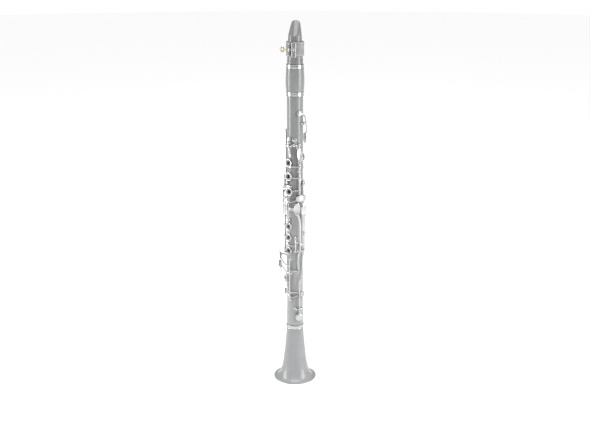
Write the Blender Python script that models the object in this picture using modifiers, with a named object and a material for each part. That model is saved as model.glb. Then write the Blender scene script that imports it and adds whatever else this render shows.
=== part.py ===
"""B flat clarinet: bell, two joints, barrel, mouthpiece and sprung keywork.

The bore is +Z, the bell's rim stands on z = 0.  Angles round the body are in degrees from the
front (the finger holes, -Y) towards the player's left (+X).  Lengths are in metres.
"""
import math

import bmesh
import bpy
from mathutils import Matrix, Vector

MM = 0.001
GAP = 0.3 * MM                      # clearance between nested or touching pieces

# Heights of the body's pieces above the bell's rim
BELL_TOP = 107.5 * MM
LOWER_TOP = 336.0 * MM
UPPER_TOP = 536.0 * MM
BARREL_TOP = 591.0 * MM
TIP = 665.0 * MM
RING_HEIGHT = 7.0 * MM              # of each metal band
TENON = 17.0 * MM                   # length of each tenon
CORK_HEIGHT = 11.0 * MM

# Radii
BELL_RIM_R = 39.3 * MM
BELL_NECK_R = 15.6 * MM
BELL_CONE = 11.0 * MM               # how much the cone adds to the neck at the rim
BELL_LIP_HEIGHT = 8.0 * MM
BELL_WALL = 2.6 * MM
LOWER_R = 14.9 * MM
LOWER_FOOT_R = 15.5 * MM
UPPER_R = 14.3 * MM
BARREL_MAX_R = 16.5 * MM
BAND_R = 15.6 * MM                  # outside of the metal bands
BAND_THICK = 0.9 * MM
BORE_R = 7.4 * MM
TENON_R = 11.6 * MM
CORK_R = 12.2 * MM
SOCKET_R = 12.5 * MM
TOP_TENON_R = 10.9 * MM             # upper joint's top and the mouthpiece
TOP_CORK_R = 11.5 * MM
TOP_SOCKET_R = 11.8 * MM

# Keywork
AXIS_R = 18.7 * MM                  # distance of the hinge rods from the bore's axis
TUBE_R = 1.5 * MM
POST_R = 1.7 * MM
POST_DEPTH = 8.0 * MM               # from a post's head to its foot inside the wall
ARM_R = 0.95 * MM
RING_R = 6.7 * MM                   # middle of a finger ring's rim
RIM_R = 0.95 * MM
RING_AT = 17.0 * MM                 # distance of the finger rings from the bore's axis
PAD_THICK = 1.4 * MM
CUP_HEIGHT = 1.8 * MM
HOLE_R = 3.6 * MM

# Mouthpiece
MOUTHPIECE_FACES = 34.0             # degrees: the beak's front is turned from the finger holes
TABLE = 9.4 * MM                    # the reed's flat, behind the bore's axis
BEAK_FOOT = 639.0 * MM
LIGATURE_FOOT = 605.0 * MM
LIGATURE_TOP = 630.0 * MM
LIGATURE_FACES = 25.0
LIGATURE_R = 14.2 * MM
SCREW_AT = 18.4 * MM
SCREW_HEIGHT = 617.0 * MM
POST_SPREAD = 4.6 * MM

SIDES = 24                          # round a body piece
SMALL = 6                           # round a tube or post


# ---------------------------------------------------------------- places and frames
def outward(angle):
    turn = math.radians(angle)
    return Vector((math.sin(turn), -math.cos(turn), 0.0))


def around(angle):
    turn = math.radians(angle)
    return Vector((math.cos(turn), math.sin(turn), 0.0))


def place(angle, radius, height):
    return outward(angle) * radius + Vector((0.0, 0.0, height))


def seat(angle, radius, height):
    """Local X runs round the body, local Y up it and local Z away from it."""
    frame = Matrix((around(angle), Vector((0.0, 0.0, 1.0)), outward(angle))).transposed().to_4x4()
    frame.translation = place(angle, radius, height)
    return frame


def axis_frame(start, end):
    """Local Z runs from start to end, with the origin half way."""
    frame = (end - start).to_track_quat('Z', 'Y').to_matrix().to_4x4()
    frame.translation = (start + end) * 0.5
    return frame


# ---------------------------------------------------------------- materials
def finish(name, colour, roughness, metallic):
    material = bpy.data.materials.new(name)
    material.use_nodes = True
    shader = material.node_tree.nodes["Principled BSDF"]
    shader.inputs["Base Color"].default_value = (*colour, 1.0)
    shader.inputs["Roughness"].default_value = roughness
    shader.inputs["Metallic"].default_value = metallic
    material.diffuse_color = (*colour, 1.0)
    return material


# ---------------------------------------------------------------- objects
def add_object(name, mesh):
    piece = bpy.data.objects.new(name, mesh)
    parts.objects.link(piece)
    return piece


def from_bmesh(name, shape, matrix=None):
    if matrix is not None:
        bmesh.ops.transform(shape, matrix=matrix, verts=shape.verts)
    mesh = bpy.data.meshes.new(name)
    shape.to_mesh(mesh)
    shape.free()
    return add_object(name, mesh)


def baked(source):
    """The object's evaluated shape as a plain mesh object in world space."""
    bpy.context.view_layer.update()
    graph = bpy.context.evaluated_depsgraph_get()
    mesh = bpy.data.meshes.new_from_object(source.evaluated_get(graph), depsgraph=graph)
    mesh.transform(source.matrix_world)
    name = source.name
    bpy.data.objects.remove(source)
    shape = bmesh.new()
    shape.from_mesh(mesh)
    bmesh.ops.remove_doubles(shape, verts=shape.verts, dist=0.005 * MM)
    shape.to_mesh(mesh)
    shape.free()
    return add_object(name, mesh)


def combine(name, pieces, operation='UNION'):
    """Join pieces to the first one, or cut them from it, and leave one plain object."""
    body = pieces[0]
    for tool in pieces[1:]:
        change = body.modifiers.new("combine", 'BOOLEAN')
        change.operation = operation
        change.solver = 'EXACT'
        change.object = tool
        body = baked(body)
        bpy.data.objects.remove(tool)
    body.name = name
    return body


def dress(piece, material, sharp=35.0):
    piece.data.materials.clear()
    piece.data.materials.append(material)
    piece.data.shade_smooth()
    piece.data.set_sharp_from_angle(angle=math.radians(sharp))
    return piece


def centred(piece, point):
    """Move the origin to a point, and leave the shape where it is."""
    piece.data.transform(Matrix.Translation(-point))
    piece.matrix_world = Matrix.Translation(point)
    return piece


# ---------------------------------------------------------------- shapes
def rod(start, end, radius, sides=SMALL):
    shape = bmesh.new()
    bmesh.ops.create_cone(shape, cap_ends=True, segments=sides, radius1=radius, radius2=radius,
                          depth=(end - start).length)
    return from_bmesh("rod", shape, axis_frame(start, end))


def box(matrix, width, height, depth):
    shape = bmesh.new()
    bmesh.ops.create_cube(shape, size=1.0)
    bmesh.ops.scale(shape, vec=(width, height, depth), verts=shape.verts)
    return from_bmesh("box", shape, matrix)


def turned(name, profile, steps=SIDES):
    """A closed outline of (radius, height) turned about the bore's axis."""
    mesh = bpy.data.meshes.new(name)
    points = [(radius, 0.0, height) for radius, height in profile]
    count = len(points)
    mesh.from_pydata(points, [(i, (i + 1) % count) for i in range(count)], [])
    piece = add_object(name, mesh)
    screw = piece.modifiers.new("turn", 'SCREW')
    screw.axis = 'Z'
    screw.steps = steps
    screw.render_steps = steps
    screw.use_merge_vertices = True
    screw.merge_threshold = 0.01 * MM
    return baked(piece)


def band(name, inner, outer, foot, top):
    return turned(name, [(outer, top), (outer, foot), (inner, foot), (inner, top)], 20)


def route(points, steps=2):
    """A smooth run through (angle, radius, height) points that follows the body."""
    ends = [points[0]] + list(points) + [points[-1]]
    path = []
    for i in range(1, len(ends) - 2):
        before, here, there, after = ends[i - 1:i + 3]
        for step in range(steps):
            t = step / steps
            path.append(tuple(
                0.5 * (2 * here[k] + (there[k] - before[k]) * t
                       + (2 * before[k] - 5 * here[k] + 4 * there[k] - after[k]) * t ** 2
                       + (3 * here[k] - before[k] - 3 * there[k] + after[k]) * t ** 3)
                for k in range(3)))
    path.append(points[-1])
    return [place(angle, radius * MM, height * MM) for angle, radius, height in path]


def arm(points, radius=ARM_R, steps=2):
    """A round bar along a route of (degrees, mm, mm) points."""
    path = route(points, steps)
    curve = bpy.data.curves.new("arm", 'CURVE')
    curve.dimensions = '3D'
    curve.bevel_depth = radius
    curve.bevel_resolution = 0
    curve.use_fill_caps = True
    spline = curve.splines.new('POLY')
    spline.points.add(len(path) - 1)
    for point, position in zip(spline.points, path):
        point.co = (*position, 1.0)
    return baked(add_object("arm", curve))


def touch(angle, radius, height, wide, tall, thick=1.3, tilt=0.0, lean=0.0):
    """A domed oval touchpiece, wide round the body and tall along it, in mm."""
    shape = bmesh.new()
    bmesh.ops.create_uvsphere(shape, u_segments=10, v_segments=4, radius=0.5)
    bmesh.ops.scale(shape, vec=(wide * MM, tall * MM, thick * MM), verts=shape.verts)
    turn = Matrix.Rotation(math.radians(tilt), 4, 'Z') @ Matrix.Rotation(math.radians(lean), 4, 'Y')
    return from_bmesh("touch", shape, seat(angle, radius * MM, height * MM) @ turn)


def finger_ring(angle, height):
    bpy.ops.mesh.primitive_torus_add(major_segments=12, minor_segments=4,
                                     major_radius=RING_R, minor_radius=RIM_R)
    shape = bpy.context.object
    shape.data.transform(seat(angle, RING_AT, height * MM))
    mesh = shape.data
    bpy.data.objects.remove(shape)
    return add_object("finger ring", mesh)


def rim(angle, height, clock):
    """A point on a finger ring's rim as (degrees, mm, mm); clock is 0 at the player's left, 90 up."""
    turn = math.radians(clock)
    local = Vector((math.cos(turn), math.sin(turn), 0.0)) * RING_R
    point = seat(angle, RING_AT, height * MM) @ local
    return (math.degrees(math.atan2(point.x, -point.y)), math.hypot(point.x, point.y) / MM, point.z / MM)


def plate(start, end, radius, foot, top, thick=1.2):
    """A touchpiece bent round the body between two angles, in mm."""
    shape = bmesh.new()
    corners = [(radius, foot), (radius + thick, foot), (radius + thick, top), (radius, top)]
    first = [shape.verts.new(place(start, r * MM, h * MM)) for r, h in corners]
    face = shape.faces.new(first)
    bmesh.ops.spin(shape, geom=[face] + list(face.edges) + first, cent=(0, 0, 0), axis=(0, 0, 1),
                   angle=math.radians(end - start), steps=8, use_duplicate=False)
    bmesh.ops.recalc_face_normals(shape, faces=shape.faces)
    return from_bmesh("plate", shape)


def loft(name, sections, matrix):
    """A closed skin over outlines with equal numbers of points."""
    shape = bmesh.new()
    rings = [[shape.verts.new(point) for point in outline] for outline in sections]
    count = len(rings[0])
    for lower, upper in zip(rings, rings[1:]):
        for i in range(count):
            j = (i + 1) % count
            shape.faces.new((lower[i], lower[j], upper[j], upper[i]))
    shape.faces.new(list(reversed(rings[0])))
    shape.faces.new(rings[-1])
    bmesh.ops.recalc_face_normals(shape, faces=shape.faces)
    return from_bmesh(name, shape, matrix)


# ---------------------------------------------------------------- parts of a key
def body_radius(height):
    return UPPER_R if height > LOWER_TOP else LOWER_R


def cup(angle, height, radius, rise=0.0):
    """A pad cup over its tone hole; rise is how far it stands open, in mm."""
    foot = body_radius(height * MM) + GAP + PAD_THICK + GAP + rise * MM
    shape = bmesh.new()
    bmesh.ops.create_cone(shape, cap_ends=True, segments=10, radius1=radius * MM,
                          radius2=0.62 * radius * MM, depth=CUP_HEIGHT)
    return from_bmesh("cup", shape, seat(angle, foot + CUP_HEIGHT / 2, height * MM))


def cup_top(height, rise=0.0):
    """Distance in mm of an arm that meets the top of a cup."""
    return (body_radius(height * MM) + 2 * GAP + PAD_THICK + CUP_HEIGHT) / MM + rise - 0.2


def pad(name, angle, height, radius, rise=0.0):
    """The felt and skin disc held in a cup."""
    foot = body_radius(height * MM) + GAP + rise * MM
    shape = bmesh.new()
    bmesh.ops.create_cone(shape, cap_ends=True, segments=10, radius1=radius * 0.9 * MM,
                          radius2=radius * 0.9 * MM, depth=PAD_THICK)
    return dress(from_bmesh(name, shape, seat(angle, foot + PAD_THICK / 2, height * MM)), PAD_SKIN)


def hinge_tube(angle, foot, top):
    """The tube between two posts whose middles are at the heights foot and top, in mm."""
    clear = POST_R + GAP
    return rod(place(angle, AXIS_R, foot * MM + clear), place(angle, AXIS_R, top * MM - clear), TUBE_R)


def cross_tube(angle, height, spread):
    """A hinge tube across the body between two posts that are 2 * spread mm apart."""
    half = around(angle) * (spread * MM - POST_R - GAP)
    middle = place(angle, AXIS_R, height * MM)
    return rod(middle - half, middle + half, TUBE_R)


def key(name, axis_point, pieces):
    piece = combine(name, pieces)
    return centred(dress(piece, SILVER, 50.0), axis_point)


def hinged_key(name, angle, foot, top, pieces):
    tube = hinge_tube(angle, foot, top)
    middle = place(angle, AXIS_R, (foot + top) / 2 * MM)
    return key(name, middle, [tube] + pieces)


def lever_key(name, angle, height, spread, pieces):
    tube = cross_tube(angle, height, spread)
    return key(name, place(angle, AXIS_R, height * MM), [tube] + pieces)


# ---------------------------------------------------------------- posts and tone holes
def post(head, direction):
    """A post with its foot in the body's wall and its head on a hinge axis."""
    return rod(head - direction * POST_DEPTH, head + direction * POST_R, POST_R)


def upright_posts(angle, heights):
    return [(place(angle, AXIS_R, height * MM), outward(angle)) for height in heights]


def cross_posts(angle, height, spread):
    middle = place(angle, AXIS_R, height * MM)
    reach = around(angle) * spread * MM
    return [(middle - reach, outward(angle)), (middle + reach, outward(angle))]


def with_posts(joint, posts):
    for head, direction in posts:
        joint = combine(joint.name, [joint, post(head, direction)])
    return joint


def with_holes(joint, holes):
    """Radial tone holes: (angle, height in mm, radius)."""
    for angle, height, radius in holes:
        drill = rod(place(angle, 4.0 * MM, height * MM), place(angle, 25.0 * MM, height * MM), radius, 8)
        joint = combine(joint.name, [joint, drill], 'DIFFERENCE')
    return joint


# ---------------------------------------------------------------- bell
def flare(height, wall=0.0):
    """Outer radius of the bell at a height, less the wall: a widening cone and a sudden lip."""
    cone = BELL_CONE * max(0.0, 1 - height / BELL_TOP) ** 1.45
    lip = (BELL_RIM_R - BELL_NECK_R - BELL_CONE) * math.exp(-height / BELL_LIP_HEIGHT)
    return BELL_NECK_R + cone + lip - wall


def make_bell():
    rim = 3.0 * MM
    heights = [BELL_TOP - RING_HEIGHT - GAP, 80 * MM, 60 * MM, 44 * MM, 31 * MM, 21 * MM, 13 * MM, 7 * MM,
               rim]
    outer = [(BAND_R - BAND_THICK - GAP, BELL_TOP), (BAND_R - BAND_THICK - GAP, heights[0])]
    outer += [(flare(height), height) for height in heights]
    foot = [(BELL_RIM_R, 2.0 * MM), (BELL_RIM_R - 0.8 * MM, 0.0), (BELL_RIM_R - 3.2 * MM, 0.0)]
    inner_heights = [4 * MM, 10 * MM, 18 * MM, 29 * MM, 45 * MM, 68 * MM]
    inner = [(flare(height, BELL_WALL + height * 0.012), height) for height in inner_heights]
    socket_foot = BELL_TOP - TENON - 2 * GAP
    inner += [(10.6 * MM, socket_foot), (SOCKET_R, socket_foot), (SOCKET_R, BELL_TOP)]
    return dress(turned("bell", outer + foot + inner, 32), BODY_GREY)


# ---------------------------------------------------------------- joints
def make_lower_joint():
    tenon_foot = BELL_TOP - TENON
    groove_top = BELL_TOP - 2.5 * MM
    groove_foot = groove_top - CORK_HEIGHT
    shoulder = BELL_TOP + GAP
    ring_foot = LOWER_TOP - RING_HEIGHT - GAP
    socket_foot = LOWER_TOP - TENON - 2 * GAP
    under_band = BAND_R - BAND_THICK - GAP
    joint = turned("lower_joint", [
        (under_band, LOWER_TOP), (under_band, ring_foot), (LOWER_R, ring_foot), (LOWER_R, 150 * MM),
        (LOWER_FOOT_R, 118 * MM), (LOWER_FOOT_R, shoulder), (TENON_R + 0.3 * MM, shoulder),
        (TENON_R + 0.3 * MM, groove_top), (TENON_R - 0.9 * MM, groove_top),
        (TENON_R - 0.9 * MM, groove_foot), (TENON_R + 0.3 * MM, groove_foot),
        (TENON_R + 0.3 * MM, tenon_foot), (9.8 * MM, tenon_foot), (BORE_R, 190 * MM),
        (BORE_R, socket_foot), (SOCKET_R, socket_foot), (SOCKET_R, LOWER_TOP)])
    joint = with_posts(joint, lower_posts())
    holes = [(0, height, HOLE_R) for height in RH_RINGS]
    holes += [(angle, height, 0.55 * radius * MM) for angle, height, radius, _ in LOWER_CUPS.values()]
    return dress(with_holes(joint, holes), BODY_GREY)


def make_upper_joint():
    tenon_foot = LOWER_TOP - TENON
    groove_top = LOWER_TOP - 2.5 * MM
    groove_foot = groove_top - CORK_HEIGHT
    top_groove_foot = UPPER_TOP + 2.5 * MM
    top_groove_top = top_groove_foot + CORK_HEIGHT
    tenon_top = UPPER_TOP + TENON
    shoulder = LOWER_TOP + GAP
    joint = turned("upper_joint", [
        (TOP_TENON_R, tenon_top), (TOP_TENON_R, top_groove_top), (TOP_TENON_R - 0.8 * MM, top_groove_top),
        (TOP_TENON_R - 0.8 * MM, top_groove_foot), (TOP_TENON_R, top_groove_foot),
        (TOP_TENON_R, UPPER_TOP), (UPPER_R, UPPER_TOP), (UPPER_R, shoulder + 4 * MM),
        (UPPER_R + 0.4 * MM, shoulder), (TENON_R + 0.3 * MM, shoulder),
        (TENON_R + 0.3 * MM, groove_top), (TENON_R - 0.9 * MM, groove_top),
        (TENON_R - 0.9 * MM, groove_foot), (TENON_R + 0.3 * MM, groove_foot),
        (TENON_R + 0.3 * MM, tenon_foot), (BORE_R, tenon_foot), (BORE_R, tenon_top)])
    joint = with_posts(joint, upper_posts())
    holes = [(angle, height, HOLE_R) for angle, height in LH_RINGS]
    holes.append((THUMB_HOLE[0], THUMB_HOLE[1], HOLE_R))
    holes += [(angle, height, 0.55 * radius * MM) for angle, height, radius, _ in UPPER_CUPS.values()]
    return dress(with_holes(joint, holes), BODY_GREY)


def make_barrel():
    under_band = BAND_R - BAND_THICK - GAP
    foot = UPPER_TOP + GAP
    lower_edge = foot + RING_HEIGHT + GAP
    upper_edge = BARREL_TOP - RING_HEIGHT - GAP
    middle = 560 * MM
    bulge = []
    for i in range(7):
        height = upper_edge + (lower_edge - upper_edge) * i / 6
        reach = (middle - lower_edge) if height < middle else (upper_edge - middle)
        share = math.cos((height - middle) / reach * math.pi / 2)
        bulge.append((BAND_R - 0.2 * MM + (BARREL_MAX_R - BAND_R + 0.2 * MM) * share, height))
    socket_top = UPPER_TOP + TENON + 3 * GAP
    socket_foot = BARREL_TOP - TENON - GAP
    profile = [(under_band, BARREL_TOP), (under_band, upper_edge)] + bulge
    profile += [(under_band, lower_edge), (under_band, foot), (TOP_SOCKET_R, foot),
                (TOP_SOCKET_R, socket_top), (BORE_R, socket_top), (BORE_R, socket_foot),
                (TOP_SOCKET_R, socket_foot), (TOP_SOCKET_R, BARREL_TOP)]
    dress(turned("barrel", profile), BODY_GREY)


def make_bands():
    inner = BAND_R - BAND_THICK
    feet = {"bell_ring": BELL_TOP - RING_HEIGHT, "lower_socket_ring": LOWER_TOP - RING_HEIGHT,
            "barrel_lower_ring": UPPER_TOP + GAP, "barrel_upper_ring": BARREL_TOP - RING_HEIGHT}
    for name, foot in feet.items():
        extra = 0.8 * MM if name == "bell_ring" else 0.0
        shape = band(name, inner, BAND_R + extra, foot, foot + RING_HEIGHT - 0.1 * MM)
        dress(shape, SILVER)


def make_corks():
    low = BELL_TOP - 2.5 * MM - GAP
    middle = LOWER_TOP - 2.5 * MM - GAP
    top = UPPER_TOP + 2.5 * MM + CORK_HEIGHT - GAP
    height = CORK_HEIGHT - 2 * GAP
    dress(band("lower_tenon_cork", TENON_R - 0.6 * MM, CORK_R, low - height, low), CORK)
    dress(band("middle_tenon_cork", TENON_R - 0.6 * MM, CORK_R, middle - height, middle), CORK)
    dress(band("upper_tenon_cork", TOP_TENON_R - 0.5 * MM, TOP_CORK_R, top - height, top), CORK)
    foot = BARREL_TOP - TENON + 3 * MM
    dress(band("mouthpiece_cork", TOP_TENON_R - 0.5 * MM, TOP_CORK_R, foot + GAP, foot + height), CORK)


# ---------------------------------------------------------------- mouthpiece
def mouthpiece_frame():
    """Local X across the beak, local Y towards its front, local Z up."""
    frame = Matrix((-around(MOUTHPIECE_FACES), outward(MOUTHPIECE_FACES),
                    Vector((0.0, 0.0, 1.0)))).transposed()
    return frame.to_4x4()


def mouthpiece_outline(height, half_width, front, flat):
    """An oval that is cut off flat on the reed's side."""
    middle = min(0.0, (front - flat) / 2)
    outline = []
    for i in range(24):
        turn = 2 * math.pi * i / 24
        depth = middle + (front - middle) * math.sin(turn)
        if math.sin(turn) < 0:
            depth = middle + half_width * math.sin(turn)
        outline.append((half_width * math.cos(turn), max(depth, -flat), height))
    return outline


def make_mouthpiece():
    slope = (11.9 * MM + TABLE - 1.4 * MM) / (TIP - BEAK_FOOT)
    foot = BARREL_TOP + GAP
    sections = [(foot, 14.0, 14.0, 14.0), (598 * MM, 14.0, 14.0, 14.0), (603 * MM, 13.7, 13.7, TABLE / MM),
                (631 * MM, 12.3, 12.4, TABLE / MM), (BEAK_FOOT, 11.7, 11.9, TABLE / MM)]
    for height in (645 * MM, 651 * MM, 657 * MM, 661.5 * MM, TIP):
        front = (11.9 * MM - slope * (height - BEAK_FOOT)) / MM
        share = (height - BEAK_FOOT) / (TIP - BEAK_FOOT)
        sections.append((height, 11.7 - 5.2 * share ** 1.3, front, TABLE / MM))
    outlines = [mouthpiece_outline(height, wide * MM, front * MM, flat * MM)
                for height, wide, front, flat in sections]
    body = loft("mouthpiece", outlines, mouthpiece_frame())
    tenon_foot = BARREL_TOP - TENON
    tenon = turned("tenon", [
        (TOP_TENON_R, BARREL_TOP + 2 * MM), (TOP_TENON_R, tenon_foot + 3 * MM + CORK_HEIGHT - GAP),
        (TOP_TENON_R - 0.8 * MM, tenon_foot + 3 * MM + CORK_HEIGHT - GAP),
        (TOP_TENON_R - 0.8 * MM, tenon_foot + 3 * MM), (TOP_TENON_R, tenon_foot + 3 * MM),
        (TOP_TENON_R, tenon_foot), (3.0 * MM, tenon_foot), (3.0 * MM, BARREL_TOP + 2 * MM)])
    body = combine("mouthpiece", [body, tenon])
    bore = rod(Vector((0, 0, tenon_foot - 2 * MM)), Vector((0, 0, 632 * MM)), BORE_R, 16)
    chamber = box(mouthpiece_frame() @ Matrix.Translation((0, -8.5 * MM, 638.5 * MM)),
                  10.4 * MM, 10.0 * MM, 37 * MM)
    dress(combine("mouthpiece", [body, bore, chamber], 'DIFFERENCE'), EBONITE)


def make_reed():
    flat = -TABLE - GAP
    sections = []
    for height, half_width, thick in ((604.5, 5.5, 2.6), (628, 5.7, 2.6), (634, 5.8, 2.3), (646, 6.1, 1.2),
                                      (656, 6.3, 0.6), (663.5, 6.4, 0.35)):
        back = flat - thick * MM
        wide = half_width * MM
        sections.append([(-wide, flat, height * MM), (-wide, back + thick * 0.3 * MM, height * MM),
                         (-wide * 0.6, back, height * MM), (wide * 0.6, back, height * MM),
                         (wide, back + thick * 0.3 * MM, height * MM), (wide, flat, height * MM)])
    dress(loft("reed", sections, mouthpiece_frame()), CANE)


def make_ligature():
    strap = turned("ligature_strap", [
        (LIGATURE_R + 1.2 * MM, LIGATURE_TOP), (LIGATURE_R + 1.6 * MM, LIGATURE_TOP - 1 * MM),
        (LIGATURE_R + 1.6 * MM, LIGATURE_FOOT + 1 * MM), (LIGATURE_R + 1.2 * MM, LIGATURE_FOOT),
        (LIGATURE_R, LIGATURE_FOOT), (LIGATURE_R - 0.3 * MM, LIGATURE_TOP)])
    shift = -outward(MOUTHPIECE_FACES) * 0.4 * MM
    strap.data.transform(Matrix.Translation(shift))
    opening = box(seat(LIGATURE_FACES, LIGATURE_R, (LIGATURE_FOOT + LIGATURE_TOP) / 2),
                  5.0 * MM, 40 * MM, 10 * MM)
    dress(combine("ligature_strap", [strap, opening], 'DIFFERENCE'), LEATHER)
    screw_middle = place(LIGATURE_FACES, SCREW_AT, SCREW_HEIGHT)
    side = around(LIGATURE_FACES)
    for name, where in (("ligature_post_left", 1), ("ligature_post_right", -1)):
        middle = screw_middle + side * where * POST_SPREAD
        half = Vector((0, 0, 10 * MM))
        body = rod(middle - half, middle + half, 2.1 * MM, 12)
        drill = rod(middle - side * 5 * MM, middle + side * 5 * MM, 1.4 * MM, 12)
        dress(combine(name, [body, drill], 'DIFFERENCE'), SILVER)
    shank = rod(screw_middle - side * 15 * MM, screw_middle + side * 7.5 * MM, 1.1 * MM)
    collar = rod(screw_middle - side * 15.5 * MM, screw_middle - side * 8.5 * MM, 2.2 * MM, 12)
    head = rod(screw_middle - side * 20 * MM, screw_middle - side * 14.5 * MM, 5.0 * MM, 16)
    screw = combine("ligature_screw", [head, collar, shank])
    centred(dress(screw, BRASS), screw_middle)


# ---------------------------------------------------------------- thumb rest
def make_thumb_rest():
    base = box(seat(180, LOWER_R + 1.0 * MM, 272 * MM), 12 * MM, 26 * MM, 1.4 * MM)
    hook = arm([(180, 16.2, 276), (180, 19, 276.6), (180, 23, 278), (180, 25.5, 281)], 2.6 * MM)
    dress(combine("thumb_rest", [base, hook]), SILVER)
    for name, height in (("thumb_rest_screw_upper", 281.5), ("thumb_rest_screw_lower", 262.5)):
        foot = LOWER_R + 1.7 * MM + GAP
        head = rod(place(180, foot, height * MM), place(180, foot + 0.9 * MM, height * MM), 2.0 * MM, 12)
        head.name = name
        dress(head, STEEL)


# ---------------------------------------------------------------- where the keys are
LH_RINGS = [(0, 417.5), (0, 392.7), (5, 365.0)]
RH_RINGS = [300.0, 279.0, 254.0]
THUMB_HOLE = (-180, 424.0)

# Cups: angle, height, radius in mm, and how far the pad stands open
UPPER_CUPS = {
    "register_pad": (74, 506.0, 4.6, 0.0),
    "a_pad": (0, 460.0, 4.4, 0.0),
    "gsharp_pad": (40, 460.0, 4.2, 0.0),
    "lh_ring_pad": (-15, 380.8, 3.2, 1.0),
    "thumb_ring_pad": (-180, 405.0, 4.2, 1.0),
    "csharp_gsharp_pad": (122, 378.0, 4.4, 0.0),
    "eb_bb_pad": (-63, 384.0, 3.3, 0.0),
    "trill_pad_1": (-146, 392.0, 4.0, 0.0),
    "trill_pad_2": (-132, 414.0, 4.0, 0.0),
    "trill_pad_3": (-118, 440.0, 4.0, 0.0),
    "trill_pad_4": (-104, 468.0, 4.0, 0.0),
}
LOWER_CUPS = {
    "rh_ring_pad": (2, 313.0, 3.4, 1.0),
    "b_fsharp_pad": (83, 266.0, 3.2, 0.0),
    "fsharp_csharp_pad": (-50, 195.0, 5.4, 1.0),
    "f_c_pad": (-50, 171.0, 6.0, 1.0),
    "ab_eb_pad": (100, 168.0, 5.6, 0.0),
    "e_b_pad": (69, 125.5, 7.4, 1.4),
}

# Hinge rods along the body: angle and the heights of their posts
REGISTER_HINGE = (115, 488.0, 5.5)
A_HINGE = (8, 449.0, 6.0)
GSHARP_HINGE = (52, 450.0, 5.2)
LH1_HINGE = (71, 402.0, 418.5)
LH_HINGE = (71, 362.0, 402.0)
THUMB_HINGE = (-152, 401.5, 431.0)
CSHARP_HINGE = (97, 346.0, 386.0)
EB_BB_HINGE = (-44, 371.5, 392.0)
TRILL_HINGES = [(-120, 340.0, 397.0), (-106, 348.0, 419.0), (-92, 359.0, 445.0), (-78, 371.0, 473.0)]
RH_HINGE = (-62, 247.0, 315.5)
B_FSHARP_HINGE = (47, 254.0, 280.5)
FRONT_HINGE = 12
FSHARP_SPAN = (210.0, 237.0)
E_TOUCH_SPAN = (171.5, 210.0)
AB_SPAN = (159.0, 171.5)
F_C_HINGE = (-88, 165.0, 246.0)
E_B_HINGE = (70, 142.0, 7.0)
LH_LEVER_HEIGHT = 255.0
LH_F_LEVER = 70
LH_E_LEVER = 97
LEVER_SPREAD = 3.9


def upper_posts():
    posts = cross_posts(*REGISTER_HINGE) + cross_posts(*A_HINGE) + cross_posts(*GSHARP_HINGE)
    posts += upright_posts(LH1_HINGE[0], (LH_HINGE[1], LH1_HINGE[1], LH1_HINGE[2]))
    for angle, foot, top in [THUMB_HINGE, CSHARP_HINGE, EB_BB_HINGE] + TRILL_HINGES:
        posts += upright_posts(angle, (foot, top))
    return posts


def lower_posts():
    posts = []
    for angle, foot, top in (RH_HINGE, B_FSHARP_HINGE, F_C_HINGE):
        posts += upright_posts(angle, (foot, top))
    posts += upright_posts(FRONT_HINGE, (AB_SPAN[0], AB_SPAN[1], E_TOUCH_SPAN[1], FSHARP_SPAN[1]))
    posts += cross_posts(*E_B_HINGE)
    posts += cross_posts(LH_F_LEVER, LH_LEVER_HEIGHT, LEVER_SPREAD)
    posts.append(cross_posts(LH_E_LEVER, LH_LEVER_HEIGHT, LEVER_SPREAD)[1])
    return posts


# ---------------------------------------------------------------- keys of the upper joint
def cup_of(name):
    angle, height, radius, rise = (UPPER_CUPS | LOWER_CUPS)[name]
    return cup(angle, height, radius, rise)


def cup_arm(name, start, *between):
    """An arm from a start point to the top of a named cup."""
    angle, height, _, rise = (UPPER_CUPS | LOWER_CUPS)[name]
    return arm([start, *between, (angle, cup_top(height, rise), height)])


def make_register_key():
    angle, height, spread = REGISTER_HINGE
    lever_key("register_key", angle, height, spread, [
        cup_arm("register_pad", (115, 20.2, 488), (108, 19.6, 499), (90, 18.6, 505.5)),
        cup_of("register_pad"),
        arm([(115, 20.0, 488), (126, 20.6, 480), (150, 20.6, 470), (165, 20.4, 463)]),
        touch(168, 20.6, 458, 9, 19, 1.6)])


def make_throat_keys():
    angle, height, spread = A_HINGE
    lever_key("a_key", angle, height, spread, [
        cup_arm("a_pad", (8, 20.0, 448), (4, 19.2, 454)),
        cup_of("a_pad"),
        arm([(8, 19.8, 449), (13, 20.6, 443), (14, 20.4, 436), (13, 20.0, 431)], 1.3 * MM),
        touch(14, 20.3, 434, 5.0, 13, 1.8)])
    angle, height, spread = GSHARP_HINGE
    lever_key("gsharp_key", angle, height, spread, [
        cup_arm("gsharp_pad", (52, 20.0, 450), (47, 19.4, 455)),
        cup_of("gsharp_pad"),
        arm([(52, 19.8, 449), (54, 20.2, 446), (60, 20.5, 443), (66, 20.7, 438)]),
        touch(68, 20.8, 434, 9.5, 26, 1.6, 8)])


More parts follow.
